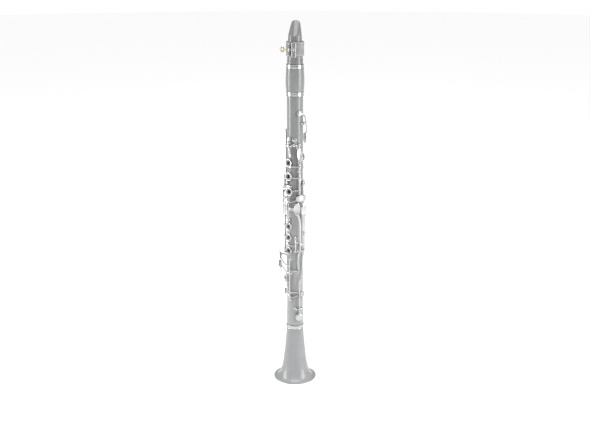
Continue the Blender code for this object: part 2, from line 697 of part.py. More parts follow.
def make_left_rings():
    angle, foot, top = LH1_HINGE
    hinged_key("lh1_ring_key", angle, foot, top, [
        finger_ring(*LH_RINGS[0]),
        arm([rim(*LH_RINGS[0], -50), (40, 18.4, 411.7), (71, 19.2, 411.5)]),
        arm([rim(*LH_RINGS[0], 226), (1, 16.7, 410.4), (22, 17.9, 411.0)], 0.85 * MM)])
    angle, foot, top = LH_HINGE
    hinged_key("lh_ring_key", angle, foot, top, [
        finger_ring(*LH_RINGS[1]), finger_ring(*LH_RINGS[2]),
        arm([rim(*LH_RINGS[1], -10), (40, 18.4, 391.2), (71, 19.2, 391)]),
        arm([rim(*LH_RINGS[2], 20), (44, 18.6, 368), (71, 19.2, 368)]),
        cup_of("lh_ring_pad"),
        cup_arm("lh_ring_pad", rim(*LH_RINGS[1], 250), (-12, 18.7, 384.6)),
        arm([rim(*LH_RINGS[2], 270), (6, 17.0, 350), (6, 16.7, 341.5)], 0.7 * MM)])


def make_thumb_ring():
    angle, foot, top = THUMB_HINGE
    hinged_key("thumb_ring_key", angle, foot, top, [
        finger_ring(*THUMB_HOLE),
        arm([rim(*THUMB_HOLE, 8), (-152, 19.3, 424.6)]),
        cup_of("thumb_ring_pad"),
        cup_arm("thumb_ring_pad", (-152, 19.4, 407), (-165, 19.3, 406))])


def make_pinky_key():
    angle, foot, top = CSHARP_HINGE
    hinged_key("csharp_gsharp_key", angle, foot, top, [
        plate(49, 112, 19.7, 348.4, 359.0),
        arm([(54, 20.4, 352.5), (38, 20.6, 349.5), (18, 20.8, 347.6), (0, 20.8, 348), (-14, 20.4, 352),
             (-22, 20.2, 357)]),
        cup_arm("csharp_gsharp_pad", (97, 19.6, 378), (108, 19.0, 378)),
        cup_of("csharp_gsharp_pad")])


def make_fork_key():
    angle, foot, top = EB_BB_HINGE
    hinged_key("eb_bb_key", angle, foot, top, [
        arm([(-44, 19.3, 375.2), (-28, 18.7, 375.0), (-8, 17.8, 375.0), (12, 17.6, 375.0), (22, 17.6, 375.2)]),
        cup_arm("eb_bb_pad", (-44, 19.4, 384), (-54, 19.0, 384)),
        cup_of("eb_bb_pad")])


def make_trill_keys():
    touches = [(-46, 20.8, 329.0, 7.0, 21.0), (-16, 20.6, 333.5, 6.0, 23.0),
               (-63, 21.4, 357.0, 6.5, 14.0), (-40, 21.4, 357.5, 6.0, 19.0)]
    arms = [
        [(-120, 19.6, 344.0), (-104, 21.4, 340.5), (-72, 21.2, 337.0), (-50, 20.9, 333)],
        [(-106, 19.6, 352.0), (-84, 21.4, 347.2), (-50, 21.2, 345.4), (-28, 21.0, 344), (-18, 20.7, 340)],
        [(-92, 19.6, 363), (-78, 21.0, 362.4), (-65, 21.2, 360)],
        [(-78, 19.6, 376), (-66, 21.4, 371.5), (-52, 21.8, 365.5), (-42, 21.5, 361)]]
    for i, (angle, foot, top) in enumerate(TRILL_HINGES):
        name = "trill_pad_%d" % (i + 1)
        cup_angle, cup_height, _, _ = UPPER_CUPS[name]
        hinged_key("trill_key_%d" % (i + 1), angle, foot, top, [
            arm(arms[i]), touch(*touches[i]),
            cup_arm(name, (angle, 19.4, cup_height), (angle - 12, 19.2, cup_height)),
            cup_of(name)])


# ---------------------------------------------------------------- keys of the lower joint
def make_right_rings():
    angle, foot, top = RH_HINGE
    pieces = [finger_ring(0, height) for height in RH_RINGS]
    pieces += [arm([rim(0, height, 180), (-42, 18.6, height), (-62, 19.2, height)]) for height in RH_RINGS]
    pieces += [cup_of("rh_ring_pad"),
               cup_arm("rh_ring_pad", rim(0, RH_RINGS[0], 90), (1, 19.3, 308.4)),
               arm([(3, 19.4, 313), (6, 19.3, 324), (6, 19.0, 334), (6, 19.0, 344)], 0.8 * MM)]
    hinged_key("rh_ring_key", angle, foot, top, pieces)


def make_sliver_key():
    angle, foot, top = B_FSHARP_HINGE
    hinged_key("b_fsharp_key", angle, foot, top, [
        arm([(46, 19.3, 265.5), (30, 18.6, 265.3), (12, 18.2, 265.0), (0, 18.1, 266.2), (-17, 18.1, 270.6)]),
        arm([(46, 19.2, 272), (57, 18.5, 270.5), (70, 17.9, 268.0), (77, 18.1, 266.8), (83, 18.3, 266)]),
        cup_of("b_fsharp_pad")])


def make_front_rod_keys():
    hinged_key("fsharp_csharp_key", FRONT_HINGE, *FSHARP_SPAN, [
        arm([(12, 19.3, 216.5), (30, 19.6, 216.5), (50, 19.6, 216.5), (65, 19.4, 216.5)]),
        arm([(12, 19.4, 225), (-4, 22.0, 228), (-20, 25.5, 235), (-30, 27.0, 241)]),
        touch(-31, 27.2, 243.5, 11, 13, 1.8, 0, -30),
        arm([(12, 19.6, 214), (-6, 20.4, 210), (-28, 20.4, 201.5), (-50, cup_top(195.0, 1.0), 195)]),
        cup_of("fsharp_csharp_pad")])
    hinged_key("e_b_touch_key", FRONT_HINGE, *E_TOUCH_SPAN, [
        arm([(12, 19.2, 175), (24, 18.2, 175), (36, 17.0, 174.8), (50, 16.8, 174.6), (68, 16.8, 174.2)]),
        arm([(12, 19.6, 194), (0, 22.6, 196), (-18, 23.6, 202), (-38, 25.4, 211), (-52, 27.5, 220)]),
        touch(-54, 28.0, 225.0, 11, 13, 1.8, 0, -20)])
    hinged_key("ab_eb_key", FRONT_HINGE, *AB_SPAN, [
        arm([(12, 19.0, 164.5), (30, 17.2, 165.5), (56, 16.6, 167.6), (70, 16.6, 168), (77, 17.7, 168),
             (84, 19.2, 168), (92, 19.2, 168), (100, cup_top(168.0), 168)]),
        arm([(12, 19.0, 167.5), (-4, 17.6, 172), (-14, 17.3, 186), (-15, 17.3, 205), (-20, 19.6, 215),
             (-32, 26.4, 224)]),
        touch(-32, 26.6, 225.0, 9, 13, 1.8, 0, -30),
        cup_of("ab_eb_pad")])


def make_f_c_key():
    angle, foot, top = F_C_HINGE
    hinged_key("f_c_key", angle, foot, top, [
        arm([(-88, 19.4, 238), (-76, 22.5, 240), (-57, 28.4, 243)]),
        touch(-56, 28.6, 243.5, 10, 13, 1.8, 0, 10),
        cup_arm("f_c_pad", (-88, 19.4, 171), (-70, 20.2, 171)),
        cup_of("f_c_pad")])


def make_e_b_key():
    angle, height, spread = E_B_HINGE
    lever_key("e_b_key", angle, height, spread, [
        arm([(92, 20.2, 212), (88, 20.2, 208), (74, 20.2, 199), (69, 20.2, 190), (69, 20.2, 165),
             (70, 20.2, 142), (70, 20.0, 133), (69, cup_top(125.5, 1.4), 126)], 1.1 * MM),
        cup_of("e_b_pad")])


def make_left_levers():
    lever_key("lh_fsharp_lever", LH_F_LEVER, LH_LEVER_HEIGHT, LEVER_SPREAD, [
        arm([(57, 21.6, 326), (66, 20.9, 315), (70, 21.3, 300), (70, 21.6, 275), (70, 20.7, 255),
             (63, 18.6, 243), (62, 17.2, 230), (65, 17.0, 216)]),
        touch(55, 21.8, 334.5, 12.5, 24, 1.8, 0, 6)])
    lever_key("lh_e_lever", LH_E_LEVER, LH_LEVER_HEIGHT, LEVER_SPREAD, [
        arm([(90, 22.8, 325), (95, 21.4, 315), (97, 20.9, 300), (97, 20.9, 275), (97, 20.4, 255),
             (97, 18.4, 243), (94, 17.2, 230), (91, 17.0, 213)]),
        touch(89, 23.0, 330.0, 12.5, 22, 1.8, 0, -4)])


# ---------------------------------------------------------------- assembly
def clear_scene():
    for old in list(bpy.data.objects):
        bpy.data.objects.remove(old)


def main():
    make_bell()
    make_lower_joint()
    make_upper_joint()
    make_barrel()
    make_bands()
    make_corks()
    make_mouthpiece()
    make_reed()
    make_ligature()
    make_thumb_rest()
    make_register_key()
    make_throat_keys()
    make_left_rings()
    make_thumb_ring()
    make_pinky_key()
    make_fork_key()
    make_trill_keys()
    make_right_rings()
    make_sliver_key()
    make_front_rod_keys()
    make_f_c_key()
    make_e_b_key()
    make_left_levers()
    for name, (angle, height, radius, rise) in (UPPER_CUPS | LOWER_CUPS).items():
        pad(name, angle, height, radius, rise)


clear_scene()
parts = bpy.data.collections.new("clarinet")
bpy.context.scene.collection.children.link(parts)
BODY_GREY = finish("body grey", (0.30, 0.31, 0.31), 0.35, 0.0)
EBONITE = finish("ebonite", (0.24, 0.25, 0.25), 0.3, 0.0)
SILVER = finish("silver plate", (0.86, 0.87, 0.86), 0.2, 1.0)
BRASS = finish("brass", (0.78, 0.62, 0.32), 0.3, 1.0)
STEEL = finish("steel", (0.6, 0.61, 0.62), 0.35, 1.0)
CORK = finish("cork", (0.62, 0.46, 0.28), 0.9, 0.0)
CANE = finish("cane", (0.80, 0.70, 0.44), 0.6, 0.0)
LEATHER = finish("leather", (0.10, 0.10, 0.10), 0.7, 0.0)
PAD_SKIN = finish("pad skin", (0.82, 0.76, 0.62), 0.7, 0.0)
main()
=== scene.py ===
"""The finished look of a B flat clarinet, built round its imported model.

Shapes are drawn in millimetres and scaled to metres when a piece is made.  The bore is +Z.  Angles
round the body are in degrees from the front (the finger holes, -Y) towards the player's left (+X).
"""

import math

import bmesh
import bpy
from mathutils import Matrix, Vector


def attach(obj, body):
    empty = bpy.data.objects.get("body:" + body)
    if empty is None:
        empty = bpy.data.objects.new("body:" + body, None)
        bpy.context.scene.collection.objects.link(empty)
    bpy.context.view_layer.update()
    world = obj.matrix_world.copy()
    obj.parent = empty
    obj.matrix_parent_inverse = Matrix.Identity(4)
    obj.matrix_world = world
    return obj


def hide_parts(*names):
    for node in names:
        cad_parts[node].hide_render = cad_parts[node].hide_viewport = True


MM = 0.001
UP = Vector((0.0, 0.0, 1.0))

# Heights of the body's pieces above the bell's rim, in millimetres
BELL_TOP = 107.5
LOWER_TOP = 336.0
UPPER_TOP = 536.0
BARREL_TOP = 591.0
TIP = 665.0
RING_HEIGHT = 7.0
TENON = 17.0
CORK_HEIGHT = 11.0
CORK_STEP = 2.5                     # from a shoulder to the edge of its cork
GAP = 0.3                           # between two pieces that don't touch
CORE = 0.05                         # how near to its axis a capped profile starts and ends

# Radii
BELL_RIM_R = 39.3
BELL_NECK_R = 15.6
BELL_CONE = 11.0                    # how much the cone adds to the neck at the rim
BELL_LIP_HEIGHT = 8.0
LOWER_R = 14.9
LOWER_FOOT_R = 15.5
UPPER_R = 14.3
BARREL_MAX_R = 16.5
BARREL_WIDEST = 560.0               # height of the barrel's widest part
BAND_R = 15.6
BELL_BAND_R = 16.4
BAND_THICK = 0.9
UNDER_BAND_R = BAND_R - BAND_THICK - GAP
BORE_R = 7.4
TENON_R = 11.9
CORK_R = 12.2
SOCKET_R = 12.5
TOP_TENON_R = 10.9
TOP_CORK_R = 11.5
TOP_SOCKET_R = 11.8
CORK_DEPTH = 0.9                    # how far a cork reaches below its tenon's surface
GROOVE_R = TENON_R - 1.2            # the floors of the corks' grooves
TOP_GROOVE_R = TOP_TENON_R - CORK_DEPTH
CHIMNEY_FOOT = 10.0
CHIMNEY_TOP = 17.3
DRILL_FROM = 4.0                    # a hole's drill, out from the bore's axis
DRILL_TO = 25.0

# Keywork
AXIS_R = 18.7                       # distance of the hinge rods from the bore's axis
TUBE_R = 1.5
ROD_R = 0.8                         # the steel pivot inside a hinge tube
POST_R = 1.7
BALL_R = 2.25
ARM_HALF_WIDTH = 1.05
ARM_HALF_THICK = 0.85
RING_R = 6.7
RIM_R = 0.95
RING_AT = 17.0
PAD_THICK = 1.4
CUP_HEIGHT = 1.8
HOLE_R = 3.6
HOLE_SHARE = 0.55                   # a padded hole's radius against its cup's

# Mouthpiece and ligature
MOUTHPIECE_FACES = 34.0
TABLE = 9.4
BEAK_FOOT = 639.0
LIGATURE_FACES = 25.0
LIGATURE_FOOT = 605.0
LIGATURE_TOP = 630.0
LIGATURE_R = 14.2
LIGATURE_BACK = 0.4                 # the strap's middle lies this far behind the bore's axis
SCREW_AT = 18.4
SCREW_HEIGHT = 617.0
POST_SPREAD = 4.6
STRAP_OUTER_R = LIGATURE_R + 1.5

# The camera, in metres: its bearing, its distance and height from the bell's rim, and its downward tilt
CAMERA_BEARING = 44.0
CAMERA_DISTANCE = 1.675
CAMERA_HEIGHT = 0.8073
CAMERA_TILT = 16.4
CAMERA_LENS = 58.7

# The lights, in metres: each softbox has a bearing from the camera, a width and a power
LEFT_SOFTBOX = (-82, 0.7, 42)
RIGHT_SOFTBOX = (64, 0.8, 44)
SOFTBOX_TALL = 2.6
SOFTBOX_DISTANCE = 1.7
SOFTBOX_HEIGHT = 0.6
SOFTBOX_AIM = 0.45
SUN_POWER = 1.95
SUN_SPREAD = 40.0
SUN_TILT = 12.0
SURROUND_STRENGTH = 0.42

# The floor, in millimetres
FLOOR_R = 9000.0
FLOOR_FOOT = -6.2
FLOOR_THICK = 6.0

ROUND = 96                          # steps round a body piece
SMALL = 20                          # steps round a rod or tube

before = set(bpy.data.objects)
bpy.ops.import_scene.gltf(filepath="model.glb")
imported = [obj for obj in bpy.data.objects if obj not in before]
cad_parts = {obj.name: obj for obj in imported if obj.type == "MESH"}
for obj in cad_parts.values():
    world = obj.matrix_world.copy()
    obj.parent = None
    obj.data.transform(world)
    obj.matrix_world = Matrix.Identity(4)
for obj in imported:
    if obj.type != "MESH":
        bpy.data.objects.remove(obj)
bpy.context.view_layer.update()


# -------- places
def outward(angle):
    turn = math.radians(angle)
    return Vector((math.sin(turn), -math.cos(turn), 0.0))


def around(angle):
    turn = math.radians(angle)
    return Vector((math.cos(turn), math.sin(turn), 0.0))


def place(angle, radius, height):
    return outward(angle) * radius + Vector((0.0, 0.0, height))


def columns(x, y, z, origin):
    matrix = Matrix((x, y, z)).transposed().to_4x4()
    matrix.translation = origin
    return matrix


def seat(angle, radius, height):
    """Local X runs round the body, local Y up it and local Z away from it."""
    return columns(around(angle), UP, outward(angle), place(angle, radius, height))


def along(start, end):
    """Local Z runs from start towards end, with the origin at start."""
    matrix = (end - start).to_track_quat('Z', 'Y').to_matrix().to_4x4()
    matrix.translation = start
    return matrix


def body_radius(height):
    return UPPER_R if height > LOWER_TOP else LOWER_R


# -------- skins
def skin(shape, rings, loop=False):
    """Faces between equal rings of points.  A loop joins its ends, and anything else is capped."""
    rows = [[shape.verts.new(point) for point in ring] for ring in rings]
    count = len(rows[0])
    pairs = list(zip(rows, rows[1:]))
    if loop:
        pairs.append((rows[-1], rows[0]))
    for low, high in pairs:
        for i in range(count):
            j = (i + 1) % count
            shape.faces.new((low[i], low[j], high[j], high[i]))
    if not loop:
        shape.faces.new(rows[0][::-1])
        shape.faces.new(rows[-1])


def eased(outline, radius, steps=3):
    """A closed outline with each corner rounded off."""
    count = len(outline)
    eased_points = []
    for i in range(count):
        before = Vector(outline[i - 1])
        corner = Vector(outline[i])
        after = Vector(outline[(i + 1) % count])
        back = before - corner
        ahead = after - corner
        cut = min(radius, 0.45 * back.length, 0.45 * ahead.length)
        start = corner + back.normalized() * cut
        end = corner + ahead.normalized() * cut
        for step in range(steps + 1):
            t = step / steps
            point = start * (1 - t) ** 2 + corner * 2 * t * (1 - t) + end * t ** 2
            eased_points.append((point.x, point.y))
    return eased_points


def arc(matrix, radius, height, turns):
    """Points at some turns about local Z."""
    return [matrix @ Vector((radius * math.cos(turn), radius * math.sin(turn), height)) for turn in turns]


def turned(shape, profile, matrix=None, steps=ROUND, loop=True):
    """A profile of (radius, height) turned about local Z."""
    matrix = matrix or Matrix.Identity(4)
    turns = [2 * math.pi * i / steps for i in range(steps)]
    skin(shape, [arc(matrix, radius, height, turns) for radius, height in profile], loop)


def capped(shape, profile, matrix=None, steps=ROUND):
    """A solid turned from a profile whose ends are closed across the axis."""
    foot = (CORE, profile[0][1])
    top = (CORE, profile[-1][1])
    turned(shape, [foot, *profile, top], matrix, steps, loop=False)


def disc(shape, matrix, radius, foot, top, ease=0.3, steps=SMALL):
    """A disc or short rod with rounded rims."""
    bend = [math.radians(90 * i / 4) for i in range(5)]
    low = [(radius - ease + ease * math.sin(t), foot + ease - ease * math.cos(t)) for t in bend]
    high = [(radius - ease + ease * math.cos(t), top - ease + ease * math.sin(t)) for t in bend]
    capped(shape, low + high, matrix, steps)


def ball(shape, centre, axis, radius, half):
    """A ball with its axis along a direction, flattened to half its length each way."""
    profile = []
    for i in range(1, 12):
        height = max(-half, min(half, -radius * math.cos(math.pi * i / 12)))
        profile.append((math.sqrt(radius ** 2 - height ** 2), height))
    capped(shape, profile, along(centre, centre + axis), SMALL)


def bowed(value, power):
    return math.copysign(abs(value) ** power, value)


def sweep(shape, path, widths, thicks, corners=0.75, sides=12):
    """A flattened bar along a path that keeps its broad side to the body."""
    rings = []
    last = len(path) - 1
    side = None
    for i, point in enumerate(path):
        tangent = (path[min(i + 1, last)] - path[max(i - 1, 0)]).normalized()
        away = Vector((point.x, point.y, 0.0)).normalized()
        cross = tangent.cross(away)
        if cross.length > 0.25:
            side = cross.normalized()
        elif side is None:
            side = tangent.cross(UP).normalized()
        lift = side.cross(tangent).normalized()
        t = i / last
        width = widths[0] * (1 - t) + widths[1] * t
        thick = thicks[0] * (1 - t) + thicks[1] * t
        ends = []
        if i == 0:
            ends = [(-0.8, 0.35), (-0.5, 0.8)]
        if i == last:
            ends = [(0.5, 0.8), (0.8, 0.35)]
        steps = ends + [(0.0, 1.0)] if i == 0 else [(0.0, 1.0)] + ends
        for shift, size in steps:
            ring = []
            for k in range(sides):
                turn = 2 * math.pi * k / sides
                ring.append(point + tangent * shift * thick
                            + side * width * size * bowed(math.cos(turn), corners)
                            + lift * thick * size * bowed(math.sin(turn), corners))
            rings.append(ring)
    skin(shape, rings)


def route(points, steps=6):
    """A smooth run through (angle, radius, height) points that follows the body."""
    ends = [points[0]] + list(points) + [points[-1]]
    path = []
    for i in range(1, len(ends) - 2):
        before, here, there, after = ends[i - 1:i + 3]
        for step in range(steps):
            t = step / steps
            path.append(tuple(
                0.5 * (2 * here[k] + (there[k] - before[k]) * t
                       + (2 * before[k] - 5 * here[k] + 4 * there[k] - after[k]) * t ** 2
                       + (3 * here[k] - before[k] - 3 * there[k] + after[k]) * t ** 3)
                for k in range(3)))
    path.append(points[-1])
    return [place(*point) for point in path]


# -------- objects
def linked(name, data):
    """A new object of the scene that holds a mesh, a light or a camera."""
    thing = bpy.data.objects.new(name, data)
    bpy.context.scene.collection.objects.link(thing)
    return thing


def made(name, shape, scale):
    """The drawn shape as an object, with its faces turned outwards."""
    bmesh.ops.recalc_face_normals(shape, faces=shape.faces)
    mesh = bpy.data.meshes.new(name)
    shape.to_mesh(mesh)
    shape.free()
    mesh.transform(Matrix.Scale(scale, 4))
    return linked(name, mesh)


def keep(name, shape, body, nodes, material, sharp=40.0):
    """Make the drawn shape a piece of the model: it rides a body and stands for its nodes."""
    return settle(made(name, shape, MM), body, nodes, material, sharp)


def settle(piece, body, nodes, material, sharp=40.0):
    mesh = piece.data
    mesh.materials.clear()
    mesh.materials.append(material)
    mesh.shade_smooth()
    mesh.set_sharp_from_angle(angle=math.radians(sharp))
    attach(piece, body)
    if nodes:
        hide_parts(*nodes)
    return piece


def cut(name, shape, tool):
    """The shape less the tool, as a new object in metres."""
    target = made("target", shape, 1.0)
    cutter = made("cutter", tool, 1.0)
    change = target.modifiers.new("cut", 'BOOLEAN')
    change.operation = 'DIFFERENCE'
    change.solver = 'EXACT'
    change.use_self = True
    change.object = cutter
    bpy.context.view_layer.update()
    graph = bpy.context.evaluated_depsgraph_get()
    mesh = bpy.data.meshes.new_from_object(target.evaluated_get(graph), depsgraph=graph)
    mesh.name = name
    mesh.transform(Matrix.Scale(MM, 4))
    for old in (target, cutter):
        bpy.data.objects.remove(old)
    return linked(name, mesh)


def true_round(piece):
    """Shade the turned wall by its round form, so that the holes leave no marks on it."""
    mesh = piece.data
    normals = [corner.vector.copy() for corner in mesh.corner_normals]
    for face in mesh.polygons:
        for i in face.loop_indices:
            spot = mesh.vertices[mesh.loops[i].vertex_index].co
            radial = Vector((spot.x, spot.y, 0.0)).normalized()
            if face.normal.dot(radial) > 0.985:
                normals[i] = radial
    mesh.normals_split_custom_set(normals)


# -------- materials
class Finish:
    """A Principled material whose colour, roughness and bump come from its nodes."""

    def __init__(self, name, metallic=0.0):
        self.material = bpy.data.materials.new(name)
        self.material.use_nodes = True
        self.tree = self.material.node_tree
        self.shader = self.tree.nodes["Principled BSDF"]
        self.shader.inputs["Metallic"].default_value = metallic
        self.spot = self.tree.nodes.new("ShaderNodeTexCoord").outputs["Object"]

    def node(self, kind, output, inputs, **settings):
        """An output of a new node.  Each input is given a value or another node's output."""
        node = self.tree.nodes.new("ShaderNode" + kind)
        for name, value in settings.items():
            setattr(node, name, value)
        for name, value in inputs.items():
            if isinstance(value, bpy.types.NodeSocket):
                self.tree.links.new(value, node.inputs[name])
            else:
                node.inputs[name].default_value = value
        return node.outputs[output]

    def noise(self, scale, detail=4.0, roughness=0.5, stretch=(1.0, 1.0, 1.0)):
        """Noise over object coordinates that have their own scale along each axis."""
        spot = self.node("Mapping", "Vector", {"Scale": stretch, "Vector": self.spot})
        return self.node("TexNoise", "Fac", {"Scale": scale, "Detail": detail, "Roughness": roughness,
                                             "Vector": spot})

    def cells(self, scale, feature='F1'):
        return self.node("TexVoronoi", "Distance", {"Scale": scale, "Vector": self.spot}, feature=feature)

    def spread(self, value, low, high, start=0.3, end=0.7):
        """A value remapped from start..end to low..high."""
        return self.node("MapRange", "Result", {"From Min": start, "From Max": end, "To Min": low,
                                                "To Max": high, "Value": value})

    def combine(self, first, second, operation='ADD'):
        return self.node("Math", "Value", {0: first, 1: second}, operation=operation)

    def finish(self, target, output):
        self.tree.links.new(output, self.shader.inputs[target])

    def colour(self, value, *stops):
        """Colours at places from 0 to 1 along a value."""
        output = self.node("ValToRGB", "Color", {"Fac": value})
        band = output.node.color_ramp
        while len(band.elements) < len(stops):
            band.elements.new(0.5)
        for element, (position, colour) in zip(band.elements, stops):
            element.position = position
            element.color = (*colour, 1.0)
        self.finish("Base Color", output)

    def roughness(self, value, low, high):
        self.finish("Roughness", self.spread(value, low, high))

    def bump(self, value, depth, strength=1.0):
        """Raise the surface by up to depth, in metres, where the value is high."""
        self.finish("Normal", self.node("Bump", "Normal", {"Distance": depth, "Strength": strength,
                                                           "Height": value}))


def grey(value, warmth=0.0):
    return (value * (1 + warmth), value, value * (1 - warmth))


def make_body_grey(name, tone, gloss):
    """Satin polished body with a faint lengthwise grain and handling marks."""
    look = Finish(name)
    grain = look.noise(900.0, 6.0, 0.6, (1.0, 1.0, 0.05))
    cloud = look.noise(45.0, 3.0)
    look.colour(look.combine(look.spread(grain, 0.0, 0.6), look.spread(cloud, 0.0, 0.4)),
                (0.0, grey(0.9 * tone, -0.012)), (0.5, grey(tone, -0.012)), (1.0, grey(1.1 * tone, -0.012)))
    look.roughness(cloud, gloss - 0.05, gloss + 0.05)
    look.bump(grain, 0.00002, 0.5)
    return look.material


def plain(name, noise, dark, light, gloss, relief=None, metallic=0.0):
    """A finish whose colour, roughness and relief all follow one noise."""
    look = Finish(name, metallic)
    marks = look.noise(*noise)
    look.colour(marks, (0.3, dark), (0.7, light))
    look.roughness(marks, *gloss)
    if relief:
        look.bump(marks, *relief)
    return look.material


def make_ebonite():
    look = Finish("ebonite")
    cloud = look.noise(60.0, 4.0)
    scuffs = look.noise(1400.0, 2.0, 0.5, (1.0, 1.0, 0.3))
    look.colour(cloud, (0.25, grey(0.15, -0.01)), (0.75, grey(0.18, -0.01)))
    look.roughness(look.combine(cloud, scuffs, 'MULTIPLY'), 0.16, 0.34)
    look.bump(scuffs, 0.00001, 0.4)
    return look.material


def make_silver():
    """Bright plate with a little tarnish and fine wiping marks."""
    look = Finish("silver plate", 1.0)
    tarnish = look.noise(120.0, 5.0)
    wiping = look.noise(2500.0, 3.0, 0.5, (1.0, 1.0, 0.15))
    look.colour(tarnish, (0.3, grey(0.42)), (0.55, grey(0.47)), (0.8, grey(0.51)))
    look.roughness(look.combine(tarnish, wiping, 'MULTIPLY'), 0.12, 0.3)
    look.bump(wiping, 0.000008, 0.35)
    return look.material


def make_brass():
    look = Finish("brass", 1.0)
    patina = look.noise(200.0, 5.0)
    look.colour(patina, (0.3, (0.50, 0.46, 0.33)), (0.7, (0.62, 0.58, 0.44)))
    look.roughness(patina, 0.18, 0.34)
    look.bump(look.noise(3000.0, 2.0), 0.000008, 0.4)
    return look.material


def make_cork():
    look = Finish("cork")
    grains = look.cells(900.0)
    pores = look.noise(1800.0, 6.0, 0.7)
    look.colour(look.combine(grains, pores, 'MULTIPLY'), (0.05, (0.20, 0.12, 0.06)),
                (0.2, (0.50, 0.34, 0.18)), (0.5, (0.66, 0.49, 0.30)))
    look.roughness(pores, 0.8, 0.95)
    look.bump(pores, 0.0002, 0.6)
    return look.material


def make_cane():
    """Planed cane: long fibres and faint stains."""
    look = Finish("cane")
    fibres = look.noise(1500.0, 5.0, 0.6, (1.0, 1.0, 0.02))
    stains = look.noise(160.0, 3.0)
    look.colour(look.combine(look.spread(fibres, 0.0, 0.7), look.spread(stains, 0.0, 0.3)),
                (0.0, (0.52, 0.42, 0.22)), (0.5, (0.72, 0.61, 0.36)), (1.0, (0.82, 0.73, 0.48)))
    look.roughness(fibres, 0.45, 0.65)
    look.bump(fibres, 0.00005, 0.6)
    return look.material


def make_leather():
    """Matt strap with a pebbled grain."""
    look = Finish("strap leather")
    pebbles = look.cells(1500.0, 'SMOOTH_F1')
    wear = look.noise(120.0, 5.0)
    look.colour(wear, (0.3, grey(0.17)), (0.7, grey(0.25)))
    look.roughness(wear, 0.55, 0.75)
    look.bump(pebbles, 0.0001, 0.7)
    return look.material


# -------- bell
def flare(height):
    """The bell's outer radius at a height: a widening cone and a sudden lip."""
    cone = BELL_CONE * max(0.0, 1 - height / BELL_TOP) ** 1.45
    lip = (BELL_RIM_R - BELL_NECK_R - BELL_CONE) * math.exp(-height / BELL_LIP_HEIGHT)
    return BELL_NECK_R + cone + lip


def make_bell():
    """The bell's outline, from its band down the flare, round the rim and up to the socket."""
    ring_foot = BELL_TOP - RING_HEIGHT - GAP
    lip = 3.4
    steps = 44
    outer = [(UNDER_BAND_R, BELL_TOP), (UNDER_BAND_R, ring_foot)]
    for i in range(steps + 1):
        height = ring_foot + (lip - ring_foot) * (i / steps) ** 0.6
        outer.append((flare(height), height))
    bead = 1.4
    turns = [math.radians(125 - 215 * i / 10) for i in range(11)]
    rim = [(BELL_RIM_R - bead + bead * math.cos(t), bead + bead * math.sin(t)) for t in turns]
    foot = [(36.6, 0.0), (36.1, 0.3)]
    wall = 2.6
    inner = []
    steps = 24
    for i in range(steps + 1):
        height = wall + 68 * (i / steps) ** 1.3
        inner.append((flare(height) - wall - height * 0.012, height))
    socket_foot = BELL_TOP - TENON - 2 * GAP
    throat = [(10.6, socket_foot), (SOCKET_R, socket_foot), (SOCKET_R, BELL_TOP - 0.6),
              (SOCKET_R + 0.6, BELL_TOP)]
    shape = bmesh.new()
    turned(shape, outer + rim + foot + inner + throat, steps=128)
    keep("bell_shell", shape, "bell", ["bell"], BELL_GREY_PAINTED_LIGHT)


# -------- bands and corks
def band_profile(inner, outer, foot, top):
    """A metal band with a slightly crowned face between two fine beads."""
    middle = (foot + top) / 2
    bead = 0.7
    face = [(outer, top), (outer, top - bead), (outer - 0.25, top - bead - 0.25)]
    face += [(outer - 0.05, middle), (outer - 0.25, foot + bead + 0.25)]
    face += [(outer, foot + bead), (outer, foot), (inner, foot), (inner, top)]
    return eased(face, 0.3)


def make_bands():
    inner = BAND_R - BAND_THICK
    bands = [("bell", "bell_ring", BELL_TOP - RING_HEIGHT, BELL_BAND_R),
             ("lower_joint", "lower_socket_ring", LOWER_TOP - RING_HEIGHT, BAND_R),
             ("barrel", "barrel_lower_ring", UPPER_TOP + GAP, BAND_R),
             ("barrel", "barrel_upper_ring", BARREL_TOP - RING_HEIGHT, BAND_R)]
    for body, node, foot, outer in bands:
        shape = bmesh.new()
        turned(shape, band_profile(inner, outer, foot, foot + RING_HEIGHT - 0.1))
        keep(node + "_plated", shape, body, [node], SILVER)


def make_corks():
    height = CORK_HEIGHT - 2 * GAP
    low = BELL_TOP - CORK_STEP - GAP - height
    middle = LOWER_TOP - CORK_STEP - GAP - height
    top = UPPER_TOP + CORK_STEP + GAP
    mouth = BARREL_TOP - TENON + 3 + GAP
    corks = [("lower_joint", "lower_tenon_cork", TENON_R, CORK_R, low),
             ("upper_joint", "middle_tenon_cork", TENON_R, CORK_R, middle),
             ("upper_joint", "upper_tenon_cork", TOP_TENON_R, TOP_CORK_R, top),
             ("mouthpiece", "mouthpiece_cork", TOP_TENON_R, TOP_CORK_R, mouth)]
    for body, node, tenon, outer, foot in corks:
        inner = tenon - CORK_DEPTH
        outline = [(outer, foot + height), (outer, foot), (inner, foot), (inner, foot + height)]
        shape = bmesh.new()
        turned(shape, eased(outline, 0.5))
        keep(node + "_sanded", shape, body, [node], CORK)


# -------- joints
def tenon_down(shoulder_r, shoulder, top, bore):
    """The outline of a tenon below a shoulder, down to the bore."""
    groove_top = top - CORK_STEP
    groove_foot = groove_top - CORK_HEIGHT
    foot = top - TENON
    return [(shoulder_r, shoulder), (TENON_R, shoulder), (TENON_R, groove_top),
            (GROOVE_R, groove_top), (GROOVE_R, groove_foot), (TENON_R, groove_foot), (TENON_R, foot),
            (bore, foot)]


